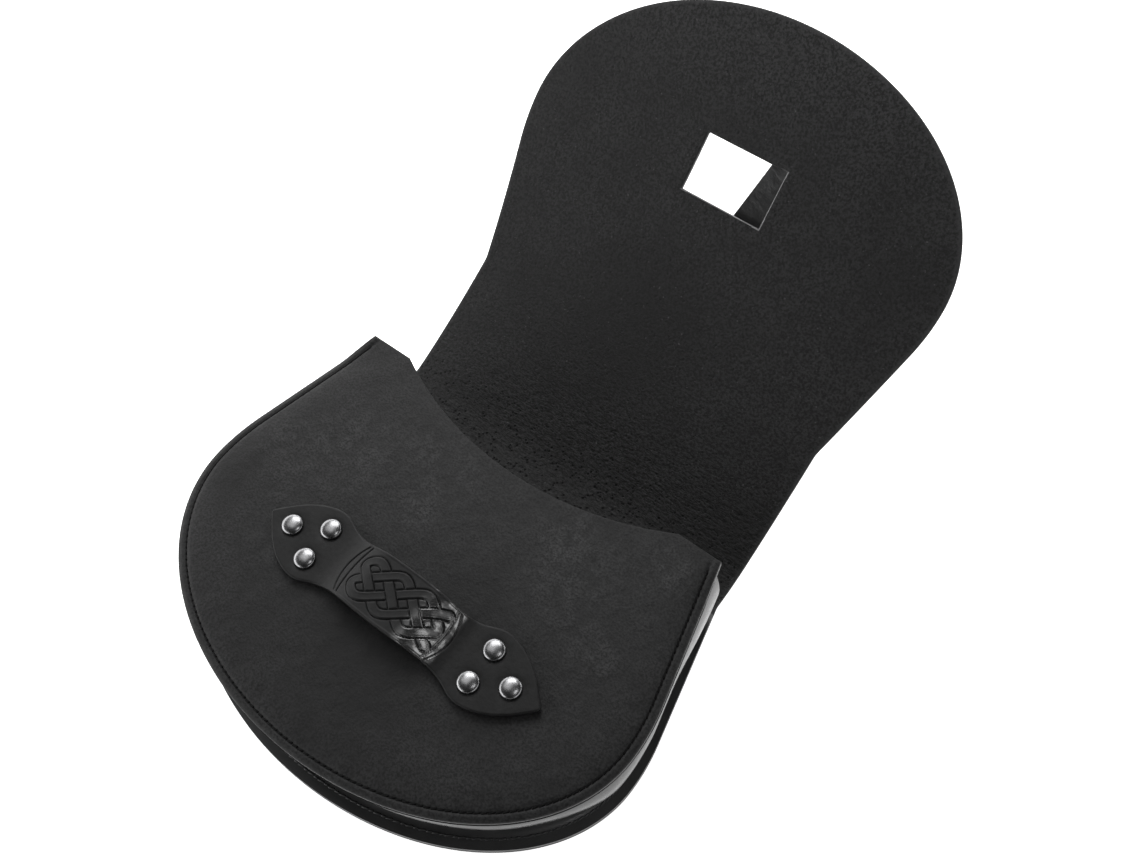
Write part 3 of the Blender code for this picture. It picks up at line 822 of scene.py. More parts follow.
# %% Relief of the interlace
RIDGE = 0.00008
GROOVE = 0.00050
TAMPED = 0.00016
FIELD_REACH = 0.0312
RIVET_DENT = 0.00028
RIVET_DENT_REACH = 0.0011


def band_masks(points):
    """Inside, groove and ridge of the interlace's bands at each point, from 0 to 1."""
    piece_of = np.cumsum(np.concatenate([[0], np.diff(path_over.astype(int)) != 0]))
    below, above = np.zeros((3, len(points))), np.zeros((3, len(points)))
    for number in range(piece_of.max() + 1):
        picked = np.flatnonzero(piece_of == number)
        picked = np.arange(picked[0] - 1, picked[-1] + 2) % len(path)
        run = path[picked]
        level = above if path_over[picked[1]] else below
        low, high = run.min(axis=0) - 0.003, run.max(axis=0) + 0.003
        near = np.flatnonzero(((points > low) & (points < high)).all(axis=1))
        away, share = along_line(run, points[near])
        beside = (share > 0.002) & (share < 0.998)
        near, away = near[beside], away[beside]
        level[:, near] = np.maximum(level[:, near], [
            smoothstep((BAND_HALF_WIDTH + 0.0002 - away) / 0.0004),
            line_mask(away, BAND_HALF_WIDTH + 0.0001, 0.00029),
            line_mask(away, BAND_HALF_WIDTH - 0.0006, 0.0003),
        ])
    hidden = 1.0 - above[0]
    all_groove = np.maximum(above[1], below[1] * hidden)
    all_ridge = np.maximum(above[2], below[2] * hidden * (1.0 - above[1]))
    return np.maximum(above[0], below[0]), all_groove, all_ridge


# %% Cut and emboss the riveted strap
RIVET_OUTER_X = 0.0599
RIVET_INNER_X = 0.0449
RIVET_SHIFT = 0.0012
RIVET_SPREAD = 0.0082
RIVET_RADIUS = 0.0047
RIVET_SPOTS = {}
for side, sign in (("left", -1), ("right", 1)):
    RIVET_SPOTS[side, "outer"] = (RIVET_SHIFT + sign * RIVET_OUTER_X, 0.0)
    RIVET_SPOTS[side, "upper"] = (RIVET_SHIFT + sign * RIVET_INNER_X, RIVET_SPREAD)
    RIVET_SPOTS[side, "lower"] = (RIVET_SHIFT + sign * RIVET_INNER_X, -RIVET_SPREAD)
LOOP_RINGS = (0.00012, 0.00035, 0.0007, 0.0011)
loop_across = np.concatenate([
    even_lines(-0.070, -0.0280, 0.0016),
    even_lines(-0.0280, FIELD_REACH, 0.00027),
    even_lines(FIELD_REACH, 0.074, 0.0016),
])
loop_along = even_lines(-0.0174, 0.0174, 0.00030)
loop, _ = cut_pattern(
    "riveted_strap", loop_outline, LOOP_RINGS, loop_across, loop_along, LOOP_THICKNESS, FRONT_ROUNDING,
)
bench = keep_bench(loop)
upper = bench[:, 2] > 0.0003
inside, groove, ridge = (np.zeros(len(bench)) for _ in range(3))
on_field = upper & (np.abs(bench[:, 0]) < FIELD_REACH)
field = np.flatnonzero(on_field)
inside[field], groove[field], ridge[field] = band_masks(bench[field, :2])
from_centre = np.abs(bench[:, 0] - END_ARC_CENTRE)
for middle, bow in END_ARCS:
    end_arc = middle - bow * (bench[:, 1] / LOOP_MIDDLE_HALF_WIDTH) ** 2
    groove = np.maximum(groove, on_field * line_mask(from_centre, end_arc, 0.00032))
fade = smoothstep((from_edge(loop_outline, bench) - 0.0006) / 0.0008)
in_arcs = smoothstep((end_arc - from_centre) / 0.0006)
relief = RIDGE * ridge - GROOVE * groove - TAMPED * (1.0 - inside) * in_arcs
relief = relief * fade * upper
for x, y in RIVET_SPOTS.values():
    away = np.hypot(bench[:, 0] - x, bench[:, 1] - y)
    relief -= upper * RIVET_DENT * np.exp(-np.maximum(0.0, away - RIVET_RADIUS) / RIVET_DENT_REACH)
height = bench[:, 2] + relief
keep(loop, "groove", groove * fade * upper)
move_to(loop, on_front(bench[:, 0], bench[:, 1], height + loop_height(bench[:, 0])))
ready(loop, "strap_leather", "closure_loop")

# %% [markdown]
# ## Rivets
# Each rivet is a domed cap with a small rim, on a shank that goes through strap
# and front to a washer inside. A disc is extruded upwards ring by ring, each
# ring drawn in or out, which is how a turned part is made by hand. One is
# modelled, and the other five are copies of it.

# %% Turn one rivet
RIVET_SIDES = 48
RIVET_DOME = 0.0016
RIVET_RIM = 0.0004
RIVET_SHANK_RADIUS = 0.0016
RIVET_WASHER_RADIUS = 0.0040
RIVET_WASHER_THICKNESS = 0.0006


def turned(name, rings, sides):
    """A turned piece: a disc at the first ring, extruded to each next (radius, height)."""
    radius, height = rings[0]
    add = bpy.ops.mesh.primitive_circle_add
    piece = add_mesh(add, name, vertices=sides, radius=radius, fill_type="NGON", location=(0, 0, height))
    bpy.ops.object.transform_apply(location=True, rotation=False, scale=False)
    bpy.ops.object.mode_set(mode="EDIT")
    bpy.ops.mesh.select_all(action="SELECT")
    for next_radius, next_height in rings[1:]:
        bpy.ops.mesh.extrude_region_move(TRANSFORM_OT_translate={"value": (0, 0, next_height - height)})
        scale = next_radius / radius
        bpy.ops.transform.resize(value=(scale, scale, 1.0), center_override=(0, 0, next_height))
        radius, height = next_radius, next_height
    bpy.ops.object.mode_set(mode="OBJECT")
    face_outwards(piece)
    return piece


cap_seat = SEAT + LOOP_THICKNESS + SEAT
washer_top = -FRONT_THICKNESS - SEAT
rivet_rings = [
    (RIVET_WASHER_RADIUS * 0.96, washer_top - RIVET_WASHER_THICKNESS),
    (RIVET_WASHER_RADIUS, washer_top - RIVET_WASHER_THICKNESS * 0.7),
    (RIVET_WASHER_RADIUS, washer_top),
    (RIVET_SHANK_RADIUS, washer_top + 0.00001),
    (RIVET_SHANK_RADIUS, cap_seat - 0.00041),
    (RIVET_RADIUS * 0.955, cap_seat - 0.0004),
    (RIVET_RADIUS * 0.988, cap_seat - 0.00028),
    (RIVET_RADIUS, cap_seat - 0.00005),
    (RIVET_RADIUS * 0.995, cap_seat + RIVET_RIM * 0.6),
]
for turn in np.radians([80.0, 72.0, 63.0, 53.0, 43.0, 33.0, 23.0, 14.0, 7.0, 2.0]):
    dome_height = cap_seat + RIVET_RIM + RIVET_DOME * math.cos(turn)
    rivet_rings.append((RIVET_RADIUS * 0.985 * math.sin(turn), dome_height))
first_rivet = turned("rivet", rivet_rings, RIVET_SIDES)
rivet_shape = places(first_rivet)

# %% Set six rivets
for (side, spot), (x, y) in RIVET_SPOTS.items():
    rivet = first_rivet.copy()
    rivet.data = first_rivet.data.copy()
    bpy.context.scene.collection.objects.link(rivet)
    named(rivet, f"cap_{side}_{spot}")
    shape = rivet_shape + (x, y, 0.0)
    move_to(rivet, on_front(shape[:, 0], shape[:, 1], shape[:, 2]))
    ready(rivet, "dark_nickel", f"rivet_{side}_{spot}")
bpy.data.objects.remove(first_rivet)

# %% [markdown]
# ## The closing strap and the belt loops
# The closing strap is sewn on behind the mouth and lies loosely along the outer
# side of the flap, where it swings a little aside. It shows through the window.
# The two belt loops under the pouch are flattened by its weight. Each is cut
# flat and then laid along the hide with the same bend.

# %% Cut the closing strap
STRAP_THICKNESS = 0.0020
STRAP_WIDTH = 0.0260
STRAP_FROM = 0.0580
STRAP_SEWN = 0.0280
STRAP_TO = 0.3140
STRAP_DRIFT = 0.0310
STRAP_DRIFT_POWER = 1.7
STRAP_HANG = 0.0030
STRAP_POINT = 0.0240
STRAP_TIP_SHARE = 0.12
STRAP_WAVE_SIZE = 0.035
STRAP_WAVE_RISE = 0.0004
STRIP_STEP = 0.0015


def strap_share(along):
    return np.maximum(0.0, along - STRAP_FROM - STRAP_SEWN) / (STRAP_TO - STRAP_FROM - STRAP_SEWN)


def strap_middle(along):
    return STRAP_DRIFT * strap_share(along) ** STRAP_DRIFT_POWER


def strap_half_width(along):
    left = np.minimum(1.0, (STRAP_TO - along) / STRAP_POINT)
    point = STRAP_TIP_SHARE + (1.0 - STRAP_TIP_SHARE) * np.sin(math.pi / 2 * left)
    return STRAP_WIDTH / 2 * np.where(left >= 1.0, 1.0, point)


def strip_outline(half_widths, stations):
    """Outline of a strip that runs along Y, anticlockwise, in even steps."""
    right = np.column_stack([half_widths, stations])
    around = np.concatenate([right, right[::-1] * (-1.0, 1.0), right[:1]])
    return walk(around, round(line_length(around) / STRIP_STEP))[:-1]


stations = np.linspace(STRAP_FROM, STRAP_TO, 300)
strap_outline = strip_outline(strap_half_width(stations), stations)
STRIP_RINGS = (0.00012, 0.00035, 0.0007, 0.0012)
strap, _ = cut_pattern(
    "closing_strap_leather", strap_outline, STRIP_RINGS, even_lines(-0.012, 0.012, 0.003),
    even_lines(STRAP_FROM + 0.002, STRAP_TO - 0.003, 0.003), STRAP_THICKNESS, EDGE_ROUNDING,
)
bench = keep_bench(strap)
side, station = bench[:, 0], bench[:, 1]
ahead = (strap_middle(station + 0.001) - strap_middle(station)) / 0.001
turn = np.arctan(ahead)
seated = -(HIDE_THICKNESS / 2 + SEAT + STRAP_THICKNESS / 2) - STRAP_HANG * smoothstep(strap_share(station))
loose = smoothstep(strap_share(station) / 0.2)
wave = STRAP_WAVE_RISE * loose * (soft_noise(bench, STRAP_WAVE_SIZE, 11) - 1.0)
swung = strap_middle(station) + side * np.cos(turn)
move_to(strap, on_hide(swung, station - side * np.sin(turn), seated + bench[:, 2] + wave))
ready(strap, "strap_leather", "closing_strap")

# %% Cut the belt loops
BELT_LOOP_THICKNESS = 0.0025
BELT_LOOP_WIDTH = 0.0380
BELT_LOOP_SPACING = 0.0950
BELT_LOOP_FROM = 0.0100
BELT_LOOP_TO = 0.1000
BELT_LOOP_SEWN = 0.0090
BELT_LOOP_RAMP = 0.0050
BELT_ROOM = 0.0050


def belt_loop_drop(station):
    from_end = np.minimum(station - BELT_LOOP_FROM, BELT_LOOP_TO - station) - BELT_LOOP_SEWN
    return BELT_ROOM * smoothstep(from_end / BELT_LOOP_RAMP)


for side_name, sign in (("left", -0.5), ("right", 0.5)):
    ends = np.array([BELT_LOOP_FROM, BELT_LOOP_TO])
    belt_outline = strip_outline(np.full(2, BELT_LOOP_WIDTH / 2), ends)
    belt_loop, _ = cut_pattern(
        f"belt_loop_{side_name}_leather", belt_outline, STRIP_RINGS, even_lines(-0.018, 0.018, 0.004),
        even_lines(BELT_LOOP_FROM + 0.001, BELT_LOOP_TO - 0.001, 0.0012), BELT_LOOP_THICKNESS, EDGE_ROUNDING,
    )
    bench = keep_bench(belt_loop)
    seated = -(HIDE_THICKNESS / 2 + SEAT + BELT_LOOP_THICKNESS / 2) - belt_loop_drop(bench[:, 1])
    move_to(belt_loop, on_hide(sign * BELT_LOOP_SPACING + bench[:, 0], bench[:, 1], seated + bench[:, 2]))
    ready(belt_loop, "matt_leather", f"belt_loop_{side_name}")

# %% [markdown]
# ## Stitches
# One stitch is modelled: a ball drawn out into a short thread. Then each seam
# is sewn with copies of it, laid from hole to hole along the seam line. Each
# stitch leans a little, as saddle stitching does, which scallops the line.

# %% Model one stitch
STITCH_RADIUS = 0.00048
add = bpy.ops.mesh.primitive_uv_sphere_add
stitch = add_mesh(add, "stitch", segments=8, ring_count=6, radius=STITCH_RADIUS)
bpy.ops.object.mode_set(mode="EDIT")
for half in (-1, 1):
    bpy.ops.mesh.select_all(action="DESELECT")
    form = bmesh.from_edit_mesh(stitch.data)
    for vertex in form.verts:
        vertex.select = (vertex.co.z > -0.00001) == (half > 0)
    form.select_flush_mode()
    bmesh.update_edit_mesh(stitch.data)
    bpy.ops.transform.translate(value=(0.0, 0.0, half * (STITCH_PITCH / 2 - STITCH_RADIUS * 1.1)))
bpy.ops.object.mode_set(mode="OBJECT")
stitch_shape = places(stitch)
stitch_faces = [list(face.vertices) for face in stitch.data.polygons]
bpy.data.objects.remove(stitch)
print("one stitch", len(stitch_faces), "faces")


# %% Sew a seam
LEAN = math.radians(11)


def sew(name, seams):
    """One piece of thread work: a stitch between each two holes of each (holes, upwards)."""
    points, faces = [], []
    for holes, upwards in seams:
        upwards = np.broadcast_to(np.asarray(upwards, float), holes.shape)
        for start, end, up in zip(holes[:-1], holes[1:], upwards):
            along = end - start
            length = np.linalg.norm(along)
            along = along / length
            side = np.cross(up, along)
            side /= np.linalg.norm(side)
            lean = along * math.cos(LEAN) + side * math.sin(LEAN)
            across = np.cross(up, lean)
            stretch = length / STITCH_PITCH
            shape = (
                (start + end) / 2
                + stitch_shape[:, 2:3] * stretch * lean
                + stitch_shape[:, 0:1] * across
                + stitch_shape[:, 1:2] * 0.8 * np.cross(lean, across)
            )
            faces += [[corner + len(points) * len(stitch_shape) for corner in face] for face in stitch_faces]
            points.append(shape)
    mesh = bpy.data.meshes.new(name)
    mesh.from_pydata(np.concatenate(points).tolist(), [], faces)
    piece = bpy.data.objects.new(name, mesh)
    bpy.context.scene.collection.objects.link(piece)
    face_outwards(piece)
    ready(piece, "thread")


# %% The seam round the front
STITCH_SINK = 0.00036
hole_inward = front_inward[:len(front_u)][::3]
front_holes = front_u[::3] + SEAM_LINE * hole_inward
hole_drop = seam_drop(front_holes[:, 1], SEAM_LINE) + STITCH_SINK
front_seam = on_front(front_holes[:, 0], front_holes[:, 1], -hole_drop)
front_up = np.array([0.0, -math.sin(FRONT_SLOPE), math.cos(FRONT_SLOPE)])
sew("thread_round_front", [(front_seam[1:-1], front_up)])

# %% The seam round the back
BACK_SEAM_LINE = 0.0045
back_share = np.linspace(0, GUSSET_ROWS, stitch_count + 1).astype(int)[1:-1]
back_plan = row_back[back_share] + BACK_SEAM_LINE * row_in[back_share]
inside_rise = HIDE_THICKNESS / 2 + SEAT + GUSSET_THICKNESS + LIFT + 0.00005
under_rise = -HIDE_THICKNESS / 2 + LIFT + 0.0001
back_seams = []
for rise, up in ((inside_rise, 1), (under_rise, -1)):
    height = np.full(len(back_plan), rise)
    back_seams.append((np.column_stack([back_plan[:, 0], back_plan[:, 1] + SLIDE, height]), (0, 0, up)))
sew("thread_round_back", back_seams)


# %% The seams of the straps
SEAM_FROM_SIDE = 0.0035
BELT_SEAM_FROM_END = 0.0032
strap_seams = []


def sew_across(centre, width, station, thickness):
    """Adds a seam across a strap under the hide."""
    reach = width / 2 - SEAM_FROM_SIDE
    count = round(2 * reach / STITCH_PITCH)
    x = centre - reach + 2 * reach * np.linspace(0.0, 1.0, count + 1)
    skin = -(HIDE_THICKNESS / 2 + SEAT + thickness) - 0.00002
    strap_seams.append((on_hide(x, np.full(count + 1, station), skin), (0, 0, -1)))


for sign in (-0.5, 0.5):
    centre = sign * BELT_LOOP_SPACING
    for station in (BELT_LOOP_FROM + BELT_SEAM_FROM_END, BELT_LOOP_TO - BELT_SEAM_FROM_END):
        sew_across(centre, BELT_LOOP_WIDTH, station, BELT_LOOP_THICKNESS)
for station in (STRAP_FROM + SEAM_FROM_SIDE, STRAP_FROM + STRAP_SEWN - SEAM_FROM_SIDE):
    sew_across(0.0, STRAP_WIDTH, station, STRAP_THICKNESS)
sew("thread_of_straps", strap_seams)

# %% [markdown]
# ## Finishes
# Shader maths is written as Python here. A Wire is one socket, and adding or
# multiplying wires adds the Math nodes. Everything that varies reads either
# the place on the bench, which follows the leather, or the place in space.

# %% A small way to write shader maths
class Wire:
    """One output socket of a finish, with the usual signs."""

    def __init__(self, finish, socket):
        self.finish = finish
        self.socket = socket

    def maths(self, operation, first, second):
        return self.finish.add("ShaderNodeMath", {"operation": operation}, {0: first, 1: second})

    def __add__(self, other):
        return self.maths("ADD", self, other)

    def __mul__(self, other):
        return self.maths("MULTIPLY", self, other)

    def __rsub__(self, other):
        return self.maths("SUBTRACT", other, self)

    __radd__, __rmul__ = __add__, __mul__

    def __sub__(self, other):
        return self.maths("SUBTRACT", self, other)

    def within(self, low, high):
        """0 below low, 1 above high and smooth between them."""
        return self.finish.add(
            "ShaderNodeMapRange", {"interpolation_type": "SMOOTHSTEP"},
            {"Value": self, "From Min": low, "From Max": high},
        )


# %% A finish and its nodes
def grey(level):
    """A black leather's grey, which is a little cool."""
    return (level, level, level * 1.02, 1.0)


class Finish:
    """A material that is wired up by name."""

    def __init__(self, name):
        self.material = bpy.data.materials.new(name)
        self.material.use_nodes = True
        self.tree = self.material.node_tree
        self.shader = self.tree.nodes["Principled BSDF"]

    def add(self, kind, settings, sockets, out=0):
        node = self.tree.nodes.new(kind)
        for name, value in settings.items():
            setattr(node, name, value)
        for name, value in sockets.items():
            self.put(node.inputs[name], value)
        return Wire(self, node.outputs[out])

    def put(self, socket, value):
        if isinstance(value, Wire):
            self.tree.links.new(value.socket, socket)
        else:
            socket.default_value = value

    def set(self, **sockets):
        for name, value in sockets.items():
            self.put(self.shader.inputs[name.replace("_", " ").title().replace("Ior", "IOR")], value)

    def kept(self, name, out="Fac"):
        """A number, or with out="Vector" a place, that was kept on each vertex."""
        return self.add("ShaderNodeAttribute", {"attribute_name": name}, {}, out)

    def bench(self):
        return self.kept("bench", "Vector")

    def space(self):
        return self.add("ShaderNodeTexCoord", {}, {}, "Object")

    def noise(self, where, size, detail=3.0, roughness=0.5):
        """Smooth noise from 0 to 1 with features about this size, in metres."""
        return self.add("ShaderNodeTexNoise", {}, {
            "Vector": where, "Scale": 1.0 / size, "Detail": detail, "Roughness": roughness,
        }, "Fac")

    def cells(self, where, size, feature="F1"):
        return self.add("ShaderNodeTexVoronoi", {"feature": feature}, {
            "Vector": where, "Scale": 1.0 / size,
        }, "Distance")

    def patches(self, where, tone, colour, spots, share=1.0):
        """Blends a colour in round each spot, given as (x, y, reach, strength)."""
        for x, y, reach, strength in spots:
            sockets = {0: where, 1: (x, y, 0.0)}
            away = self.add("ShaderNodeVectorMath", {"operation": "DISTANCE"}, sockets, "Value")
            near = 1.0 - away.within(0.2 * reach, reach)
            tone = self.blend(near * share * strength, tone, colour)
        return tone

    def squeezed(self, where, scale):
        return self.add("ShaderNodeMapping", {}, {"Vector": where, "Scale": scale})

    def split(self, where, axis):
        return self.add("ShaderNodeSeparateXYZ", {}, {"Vector": where}, axis)

    def blend(self, share, first, second):
        """A mix of two colours, where a plain number is a level of grey."""
        first, second = (grey(tone) if isinstance(tone, float) else tone for tone in (first, second))
        sockets = {"Factor": share, "A": first, "B": second}
        return self.add("ShaderNodeMix", {"data_type": "RGBA"}, sockets, "Result")

    def raised(self, height, depth, normal=None):
        """A bump, where a height of 1 stands the given depth in metres above 0."""
        sockets = {"Height": height, "Distance": depth, "Strength": 1.0}
        if normal is not None:
            sockets["Normal"] = normal
        return self.add("ShaderNodeBump", {}, sockets, "Normal")


# %% Fill a piece's slots
def paint(piece, *finishes):
    """Fills a piece's slots, which its faces were given to when it was cut."""
    while len(piece.data.materials) < len(finishes):
        piece.data.materials.append(None)
    for number, finish in enumerate(finishes):
        piece.data.materials[number] = finish.material


# %% [markdown]
# ### Matt leather of the front
# The front is an oiled black hide with no shine. It shows a cloudy mottling, a
# very fine grain and a few pale specks. Where it has been handled it is
# frosted. It is darker in some places, and painted shadow darkens it below
# the strap's hump and its right plate.

# %% Matt leather
# Frosted places, and darker places with painted shadow under the strap, on the front: x, y, reach and
# strength
FROSTED = (
    (-0.022, 0.038, 0.014, 0.80),
    (-0.066, 0.046, 0.032, 0.60),
    (-0.020, 0.060, 0.022, 0.50),
    (0.048, 0.050, 0.030, 0.60),
    (0.078, 0.032, 0.016, 0.50),
    (-0.050, -0.012, 0.018, 0.40),
    (-0.040, 0.062, 0.014, 0.50),
    (0.037, 0.065, 0.018, 0.70),
    (0.080, 0.078, 0.016, 0.70),
    (-0.092, 0.024, 0.024, 0.50),
)
DARK_PLACES_AND_PAINTED_SHADOW = (
    (0.008, -0.034, 0.044, 0.60),
    (-0.014, -0.019, 0.016, 0.55),
    (0.012, -0.019, 0.018, 0.60),
    (0.060, -0.021, 0.016, 0.40),
    (-0.040, -0.036, 0.030, 0.35),
    (0.026, 0.022, 0.030, 0.45),
    (-0.104, 0.008, 0.026, 0.55),
    (0.058, 0.008, 0.028, 0.25),
)

matt = Finish("matt_leather")
where = matt.bench()
broad = matt.noise(where, 0.042, 3.0, 0.55).within(0.36, 0.64)
clouds = matt.noise(where, 0.012, 4.0, 0.62).within(0.34, 0.68)
grain = matt.noise(where, 0.0010, 3.0, 0.66)
speckle = grain.within(0.34, 0.64)
tone = matt.blend(broad, 0.0120, 0.0150)
tone = matt.blend(clouds * 0.7, tone, 0.0200)
frost = matt.noise(where, 0.0060, 4.0, 0.62).within(0.36, 0.68)
tone = matt.patches(where, tone, 0.038, FROSTED, frost)
# Painted shadow under the strap's hump and right plate, with other darker places
tone = matt.patches(where, tone, 0.0040, DARK_PLACES_AND_PAINTED_SHADOW)
tone = matt.blend(speckle, 0.0048, tone)
specks = matt.noise(where, 0.0016, 2.0, 0.5).within(0.76, 0.81)
tone = matt.blend(specks * 0.5, tone, 0.05)
matt.set(base_color=tone, roughness=0.50 + grain * 0.20, specular_ior_level=0.165)
matt.set(normal=matt.raised(grain, 0.00017, matt.raised(clouds, 0.0002)))
print(len(matt.tree.nodes), "nodes in the matt leather")

# %% [markdown]
# ### Flesh side of the flap
# Inside, the hide shows its flesh side: darker and coarser, with light specks.
# Just past the mouth it is pitted, and fine wrinkles run across the crease.
# Painted shade darkens places of it, and painted light lightens its far end
# and a band along its edge.

# %% Flesh side
# Painted shade on places of the flap, given in the same way
FLAP_PAINTED_SHADE = (
    (-0.012, 0.190, 0.060, 0.65),
    (-0.070, 0.180, 0.030, 0.35),
    (0.088, 0.262, 0.034, 0.40),
    (0.078, 0.125, 0.044, 0.55),
)

flesh = Finish("flesh_side")
where = flesh.bench()
along = flesh.split(where, "Y")
creased = along.within(0.086, 0.104) * (1.0 - along.within(0.128, 0.176))
fine = flesh.noise(where, 0.0013, 3.0, 0.70)
speckle = fine.within(0.38, 0.62)
flat = flesh.squeezed(where, (1.0, 1.0, 0.0))
near_mouth = 1.0 - along.within(0.118, 0.134)
pores = (1.0 - flesh.cells(flat, 0.0026).within(0.12, 0.30)) * (0.30 + near_mouth * 0.70)
clouds = flesh.noise(where, 0.020, 4.0, 0.6).within(0.32, 0.68)
wrinkles = flesh.noise(flesh.squeezed(where, (0.40, 1.0, 1.0)), 0.0017, 4.0, 0.6)
specks = flesh.noise(where, 0.0014, 2.0, 0.5).within(0.71, 0.77)
tone = flesh.blend(clouds, 0.0110, 0.0150)
# Painted light: the flap is lighter towards its far end
tone = flesh.blend(along.within(0.290, 0.345) * 0.6, tone, 0.026)
# Painted shade on the middle of the flap and by the crease
tone = flesh.patches(where, tone, 0.0040, FLAP_PAINTED_SHADE)
tone = flesh.blend(speckle, 0.0014, tone)
tone = flesh.blend(pores * 0.85, tone, 0.0008)
tone = flesh.blend(specks * 0.7, tone, 0.060)
# Painted highlight: a lighter band along the flap's edge
rim = 1.0 - flesh.kept("rim").within(0.0004, 0.0026)
tone = flesh.blend(rim * 0.5, tone, 0.032)
flesh.set(base_color=tone, roughness=0.50 + fine * 0.22 + pores * 0.25, specular_ior_level=0.18)
bumps = flesh.raised(fine, 0.00042, flesh.raised(1.0 - pores, 0.00050))
flesh.set(normal=flesh.raised(wrinkles * creased, 0.00062, bumps))

# %% [markdown]
# ### Cut edges and thread
# These are so small that one fine fibre is enough for each. The rounded edge
# of the window's right and lower sides is painted pale, a painted highlight.

# %% Edges and thread
def fibrous(name, fibre, tones, roughness, gloss, bump):
    """A plain finish with one fibre, given by its size, detail and roughness."""
    finish = Finish(name)
    fibre = finish.noise(finish.space(), *fibre)
    finish.set(base_color=finish.blend(fibre, *tones), roughness=roughness, specular_ior_level=gloss)
    finish.set(normal=finish.raised(fibre, bump))
    return finish


edge = fibrous("cut_edge", (0.0008, 3.0, 0.6), (0.003, 0.010), 0.42, 0.30, 0.00003)
window_edge_highlight = fibrous("window_edge_highlight", (0.0010, 3.0, 0.6), (0.05, 0.12), 0.40, 0.50, 0.00002)
thread = fibrous("thread", (0.0005, 2.0, 0.5), (0.0006, 0.0022), 0.6, 0.08, 0.0001)
waxed_thread = fibrous("waxed_thread", (0.0005, 2.0, 0.5), (0.009, 0.024), 0.45, 0.3, 0.0001)

# %% [markdown]
# ### Smooth leather of the gusset
# The gusset is finished smooth and glossy, so its web carries soft bright bands.
# Its low part is painted lighter, as painted sheen.

# %% Smooth leather
smooth = Finish("smooth_leather")
where = smooth.space()
grain = smooth.noise(where, 0.0013, 3.0, 0.55)
dull = smooth.noise(where, 0.012, 3.0, 0.6).within(0.3, 0.7)
# Painted sheen: the low part of the web is lighter in colour, and rougher
foot = 1.0 - smooth.split(where, "Z").within(0.0125, 0.0190)
tone = smooth.blend(foot, smooth.blend(dull, 0.008, 0.013), 0.017)
smooth.set(base_color=tone, roughness=0.24 + dull * 0.10 + foot * 0.12)
smooth.set(specular_ior_level=0.5, normal=smooth.raised(grain, 0.00004))

# %% [markdown]
# ### Strap leather
# The straps are a firm, waxed leather. The grooves of the interlace hold dark
# wax, and the right end of the field is rubbed glossy, with a pebbled grain.

# %% Strap leather
waxed = Finish("waxed_strap")
where = waxed.bench()
groove = waxed.kept("groove")
across = waxed.split(where, "X")
rubbed = across.within(0.009, 0.016) * (1.0 - across.within(0.0275, 0.0300))
patch = waxed.noise(where, 0.0045, 3.0, 0.6).within(0.38, 0.56)
pebbles = waxed.cells(where, 0.0008)
grain = waxed.noise(where, 0.0020, 3.0, 0.6)
clouds = waxed.noise(where, 0.009, 3.0, 0.6).within(0.35, 0.65)
tone = waxed.blend(clouds, 0.0052, 0.0072)
tone = waxed.blend(grain.within(0.3, 0.7), 0.0030, tone)
tone = waxed.blend(groove * 0.9, tone, 0.0008)
waxed.set(base_color=tone, roughness=0.44 + grain * 0.14, specular_ior_level=0.17)
waxed.set(coat_weight=rubbed * (0.20 + patch * 0.80), coat_roughness=0.20, coat_ior=1.70)
waxed.set(normal=waxed.raised(pebbles * rubbed, 0.00017, waxed.raised(grain, 0.00010)))

# %% [markdown]
# ### Closing strap and rivets
# The closing strap is glossier, with painted light on its creases at the far
# side of the window. The caps of the rivets are dark nickel with fine rubs.

# %% Half-gloss leather
half_gloss = Finish("closing_strap")
where = half_gloss.bench()
creases = half_gloss.noise(half_gloss.squeezed(where, (0.6, 1.0, 1.0)), 0.0040, 4.0, 0.6)
grain = half_gloss.noise(where, 0.0016, 3.0, 0.6)
# Painted light on the crease ridges at the far side of the window
lit_crease_ridges = half_gloss.split(where, "Y").within(0.262, 0.286) * creases.within(0.30, 0.62)
tone = half_gloss.blend(lit_crease_ridges, half_gloss.blend(grain, 0.007, 0.012), 0.040)
half_gloss.set(base_color=tone, roughness=0.32 + grain * 0.12)
half_gloss.set(normal=half_gloss.raised(creases, 0.00045, half_gloss.raised(grain, 0.00010)))
half_gloss.set(specular_ior_level=0.36)

# %% Dark nickel
nickel = Finish("dark_nickel")
where = nickel.space()
rubs = nickel.noise(nickel.squeezed(where, (1.0, 0.3, 1.0)), 0.0008, 3.0, 0.6)
haze = nickel.noise(where, 0.003, 3.0, 0.6)
nickel.set(base_color=nickel.blend(haze, 0.15, 0.23), roughness=0.22 + rubs * 0.12, metallic=1.0)
nickel.set(normal=nickel.raised(rubs, 0.00001))

# %% Paint the pieces
paint(hide, flesh, edge, matt, window_edge_highlight)
paint(front, matt, edge, flesh)
paint(gusset, smooth)
paint(loop, waxed, waxed, waxed)
paint(strap, half_gloss, edge, half_gloss)
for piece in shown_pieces():
    if piece.name.startswith("belt_loop"):
        paint(piece, matt, edge, matt)
    elif piece.name.startswith("cap_"):
        paint(piece, nickel)
    elif piece.name.startswith("thread"):
        paint(piece, waxed_thread if piece.name.endswith("back") else thread)

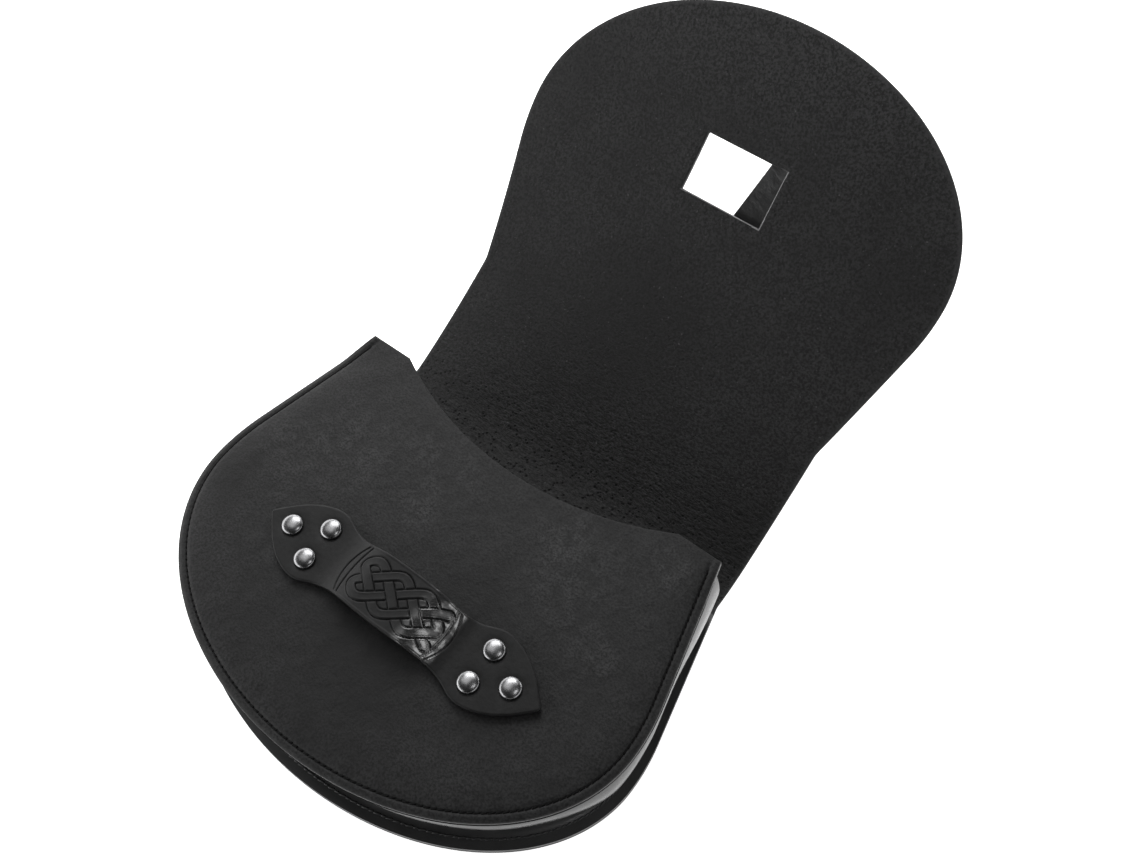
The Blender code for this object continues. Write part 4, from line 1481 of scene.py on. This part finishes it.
# %% [markdown]
# ## Floor and light
# The photograph has a bare white ground that glows a little itself, as on a
# light table. Its soft light comes mostly from the left and from behind. The
# caps of the rivets mirror it: one softbox above, low walls round the table,
# and a dark gap towards the camera.

# %% Floor
bpy.ops.object.select_all(action="DESELECT")
bpy.ops.mesh.primitive_plane_add(size=6.0, location=(0.0, 0.0, -0.0002))
floor = named(bpy.context.object, "floor")
paper = Finish("pale_paper")
where = paper.space()
tooth = paper.noise(where, 0.05, 2.0, 0.5)
paper.set(base_color=paper.blend(tooth, (0.90, 0.90, 0.90, 1.0), (0.93, 0.93, 0.93, 1.0)), roughness=0.9)
paper.set(specular_ior_level=0.1, emission_color=(1.0, 1.0, 1.0, 1.0), emission_strength=0.85)
paint(floor, paper)

# %% World and softboxes
world = bpy.data.worlds.new("studio")
bpy.context.scene.world = world
world.use_nodes = True
surround = world.node_tree.nodes["Background"]
surround.inputs["Color"].default_value = (1.0, 1.0, 1.0, 1.0)
surround.inputs["Strength"].default_value = 0.02
MIDDLE = Vector((0.0, 0.0, 0.1))
LIGHTS = (
    # name, place, width, height, watts
    ("softbox_above", (-0.55, 0.0, 1.20), 0.60, 0.75, 2.8),
    ("softbox_back_left", (-0.60, 0.70, 1.10), 0.90, 0.70, 16.7),
    ("wall_behind", (-0.20, 1.30, 0.35), 2.6, 0.7, 25.3),
    ("wall_left", (-1.30, 0.0, 0.35), 2.0, 0.7, 17.3),
    ("wall_right", (1.30, 0.10, 0.35), 2.0, 0.7, 8.3),
    ("wall_front_left", (-0.70, -1.20, 0.35), 1.4, 0.7, 13.0),
    ("small_above_right", (0.50, -0.04, 1.20), 0.30, 0.30, 1.8),
)
for name, place, width, height, watts in LIGHTS:
    bpy.ops.object.select_all(action="DESELECT")
    bpy.ops.object.light_add(type="AREA", location=place)
    light = bpy.context.object
    light.name = name
    light.data.shape = "RECTANGLE"
    light.data.size = width
    light.data.size_y = height
    light.data.energy = watts
    light.rotation_euler = (MIDDLE - Vector(place)).to_track_quat("-Z", "Y").to_euler()
print(len(LIGHTS), "lights")
bpy.context.scene.view_settings.view_transform = "Standard"
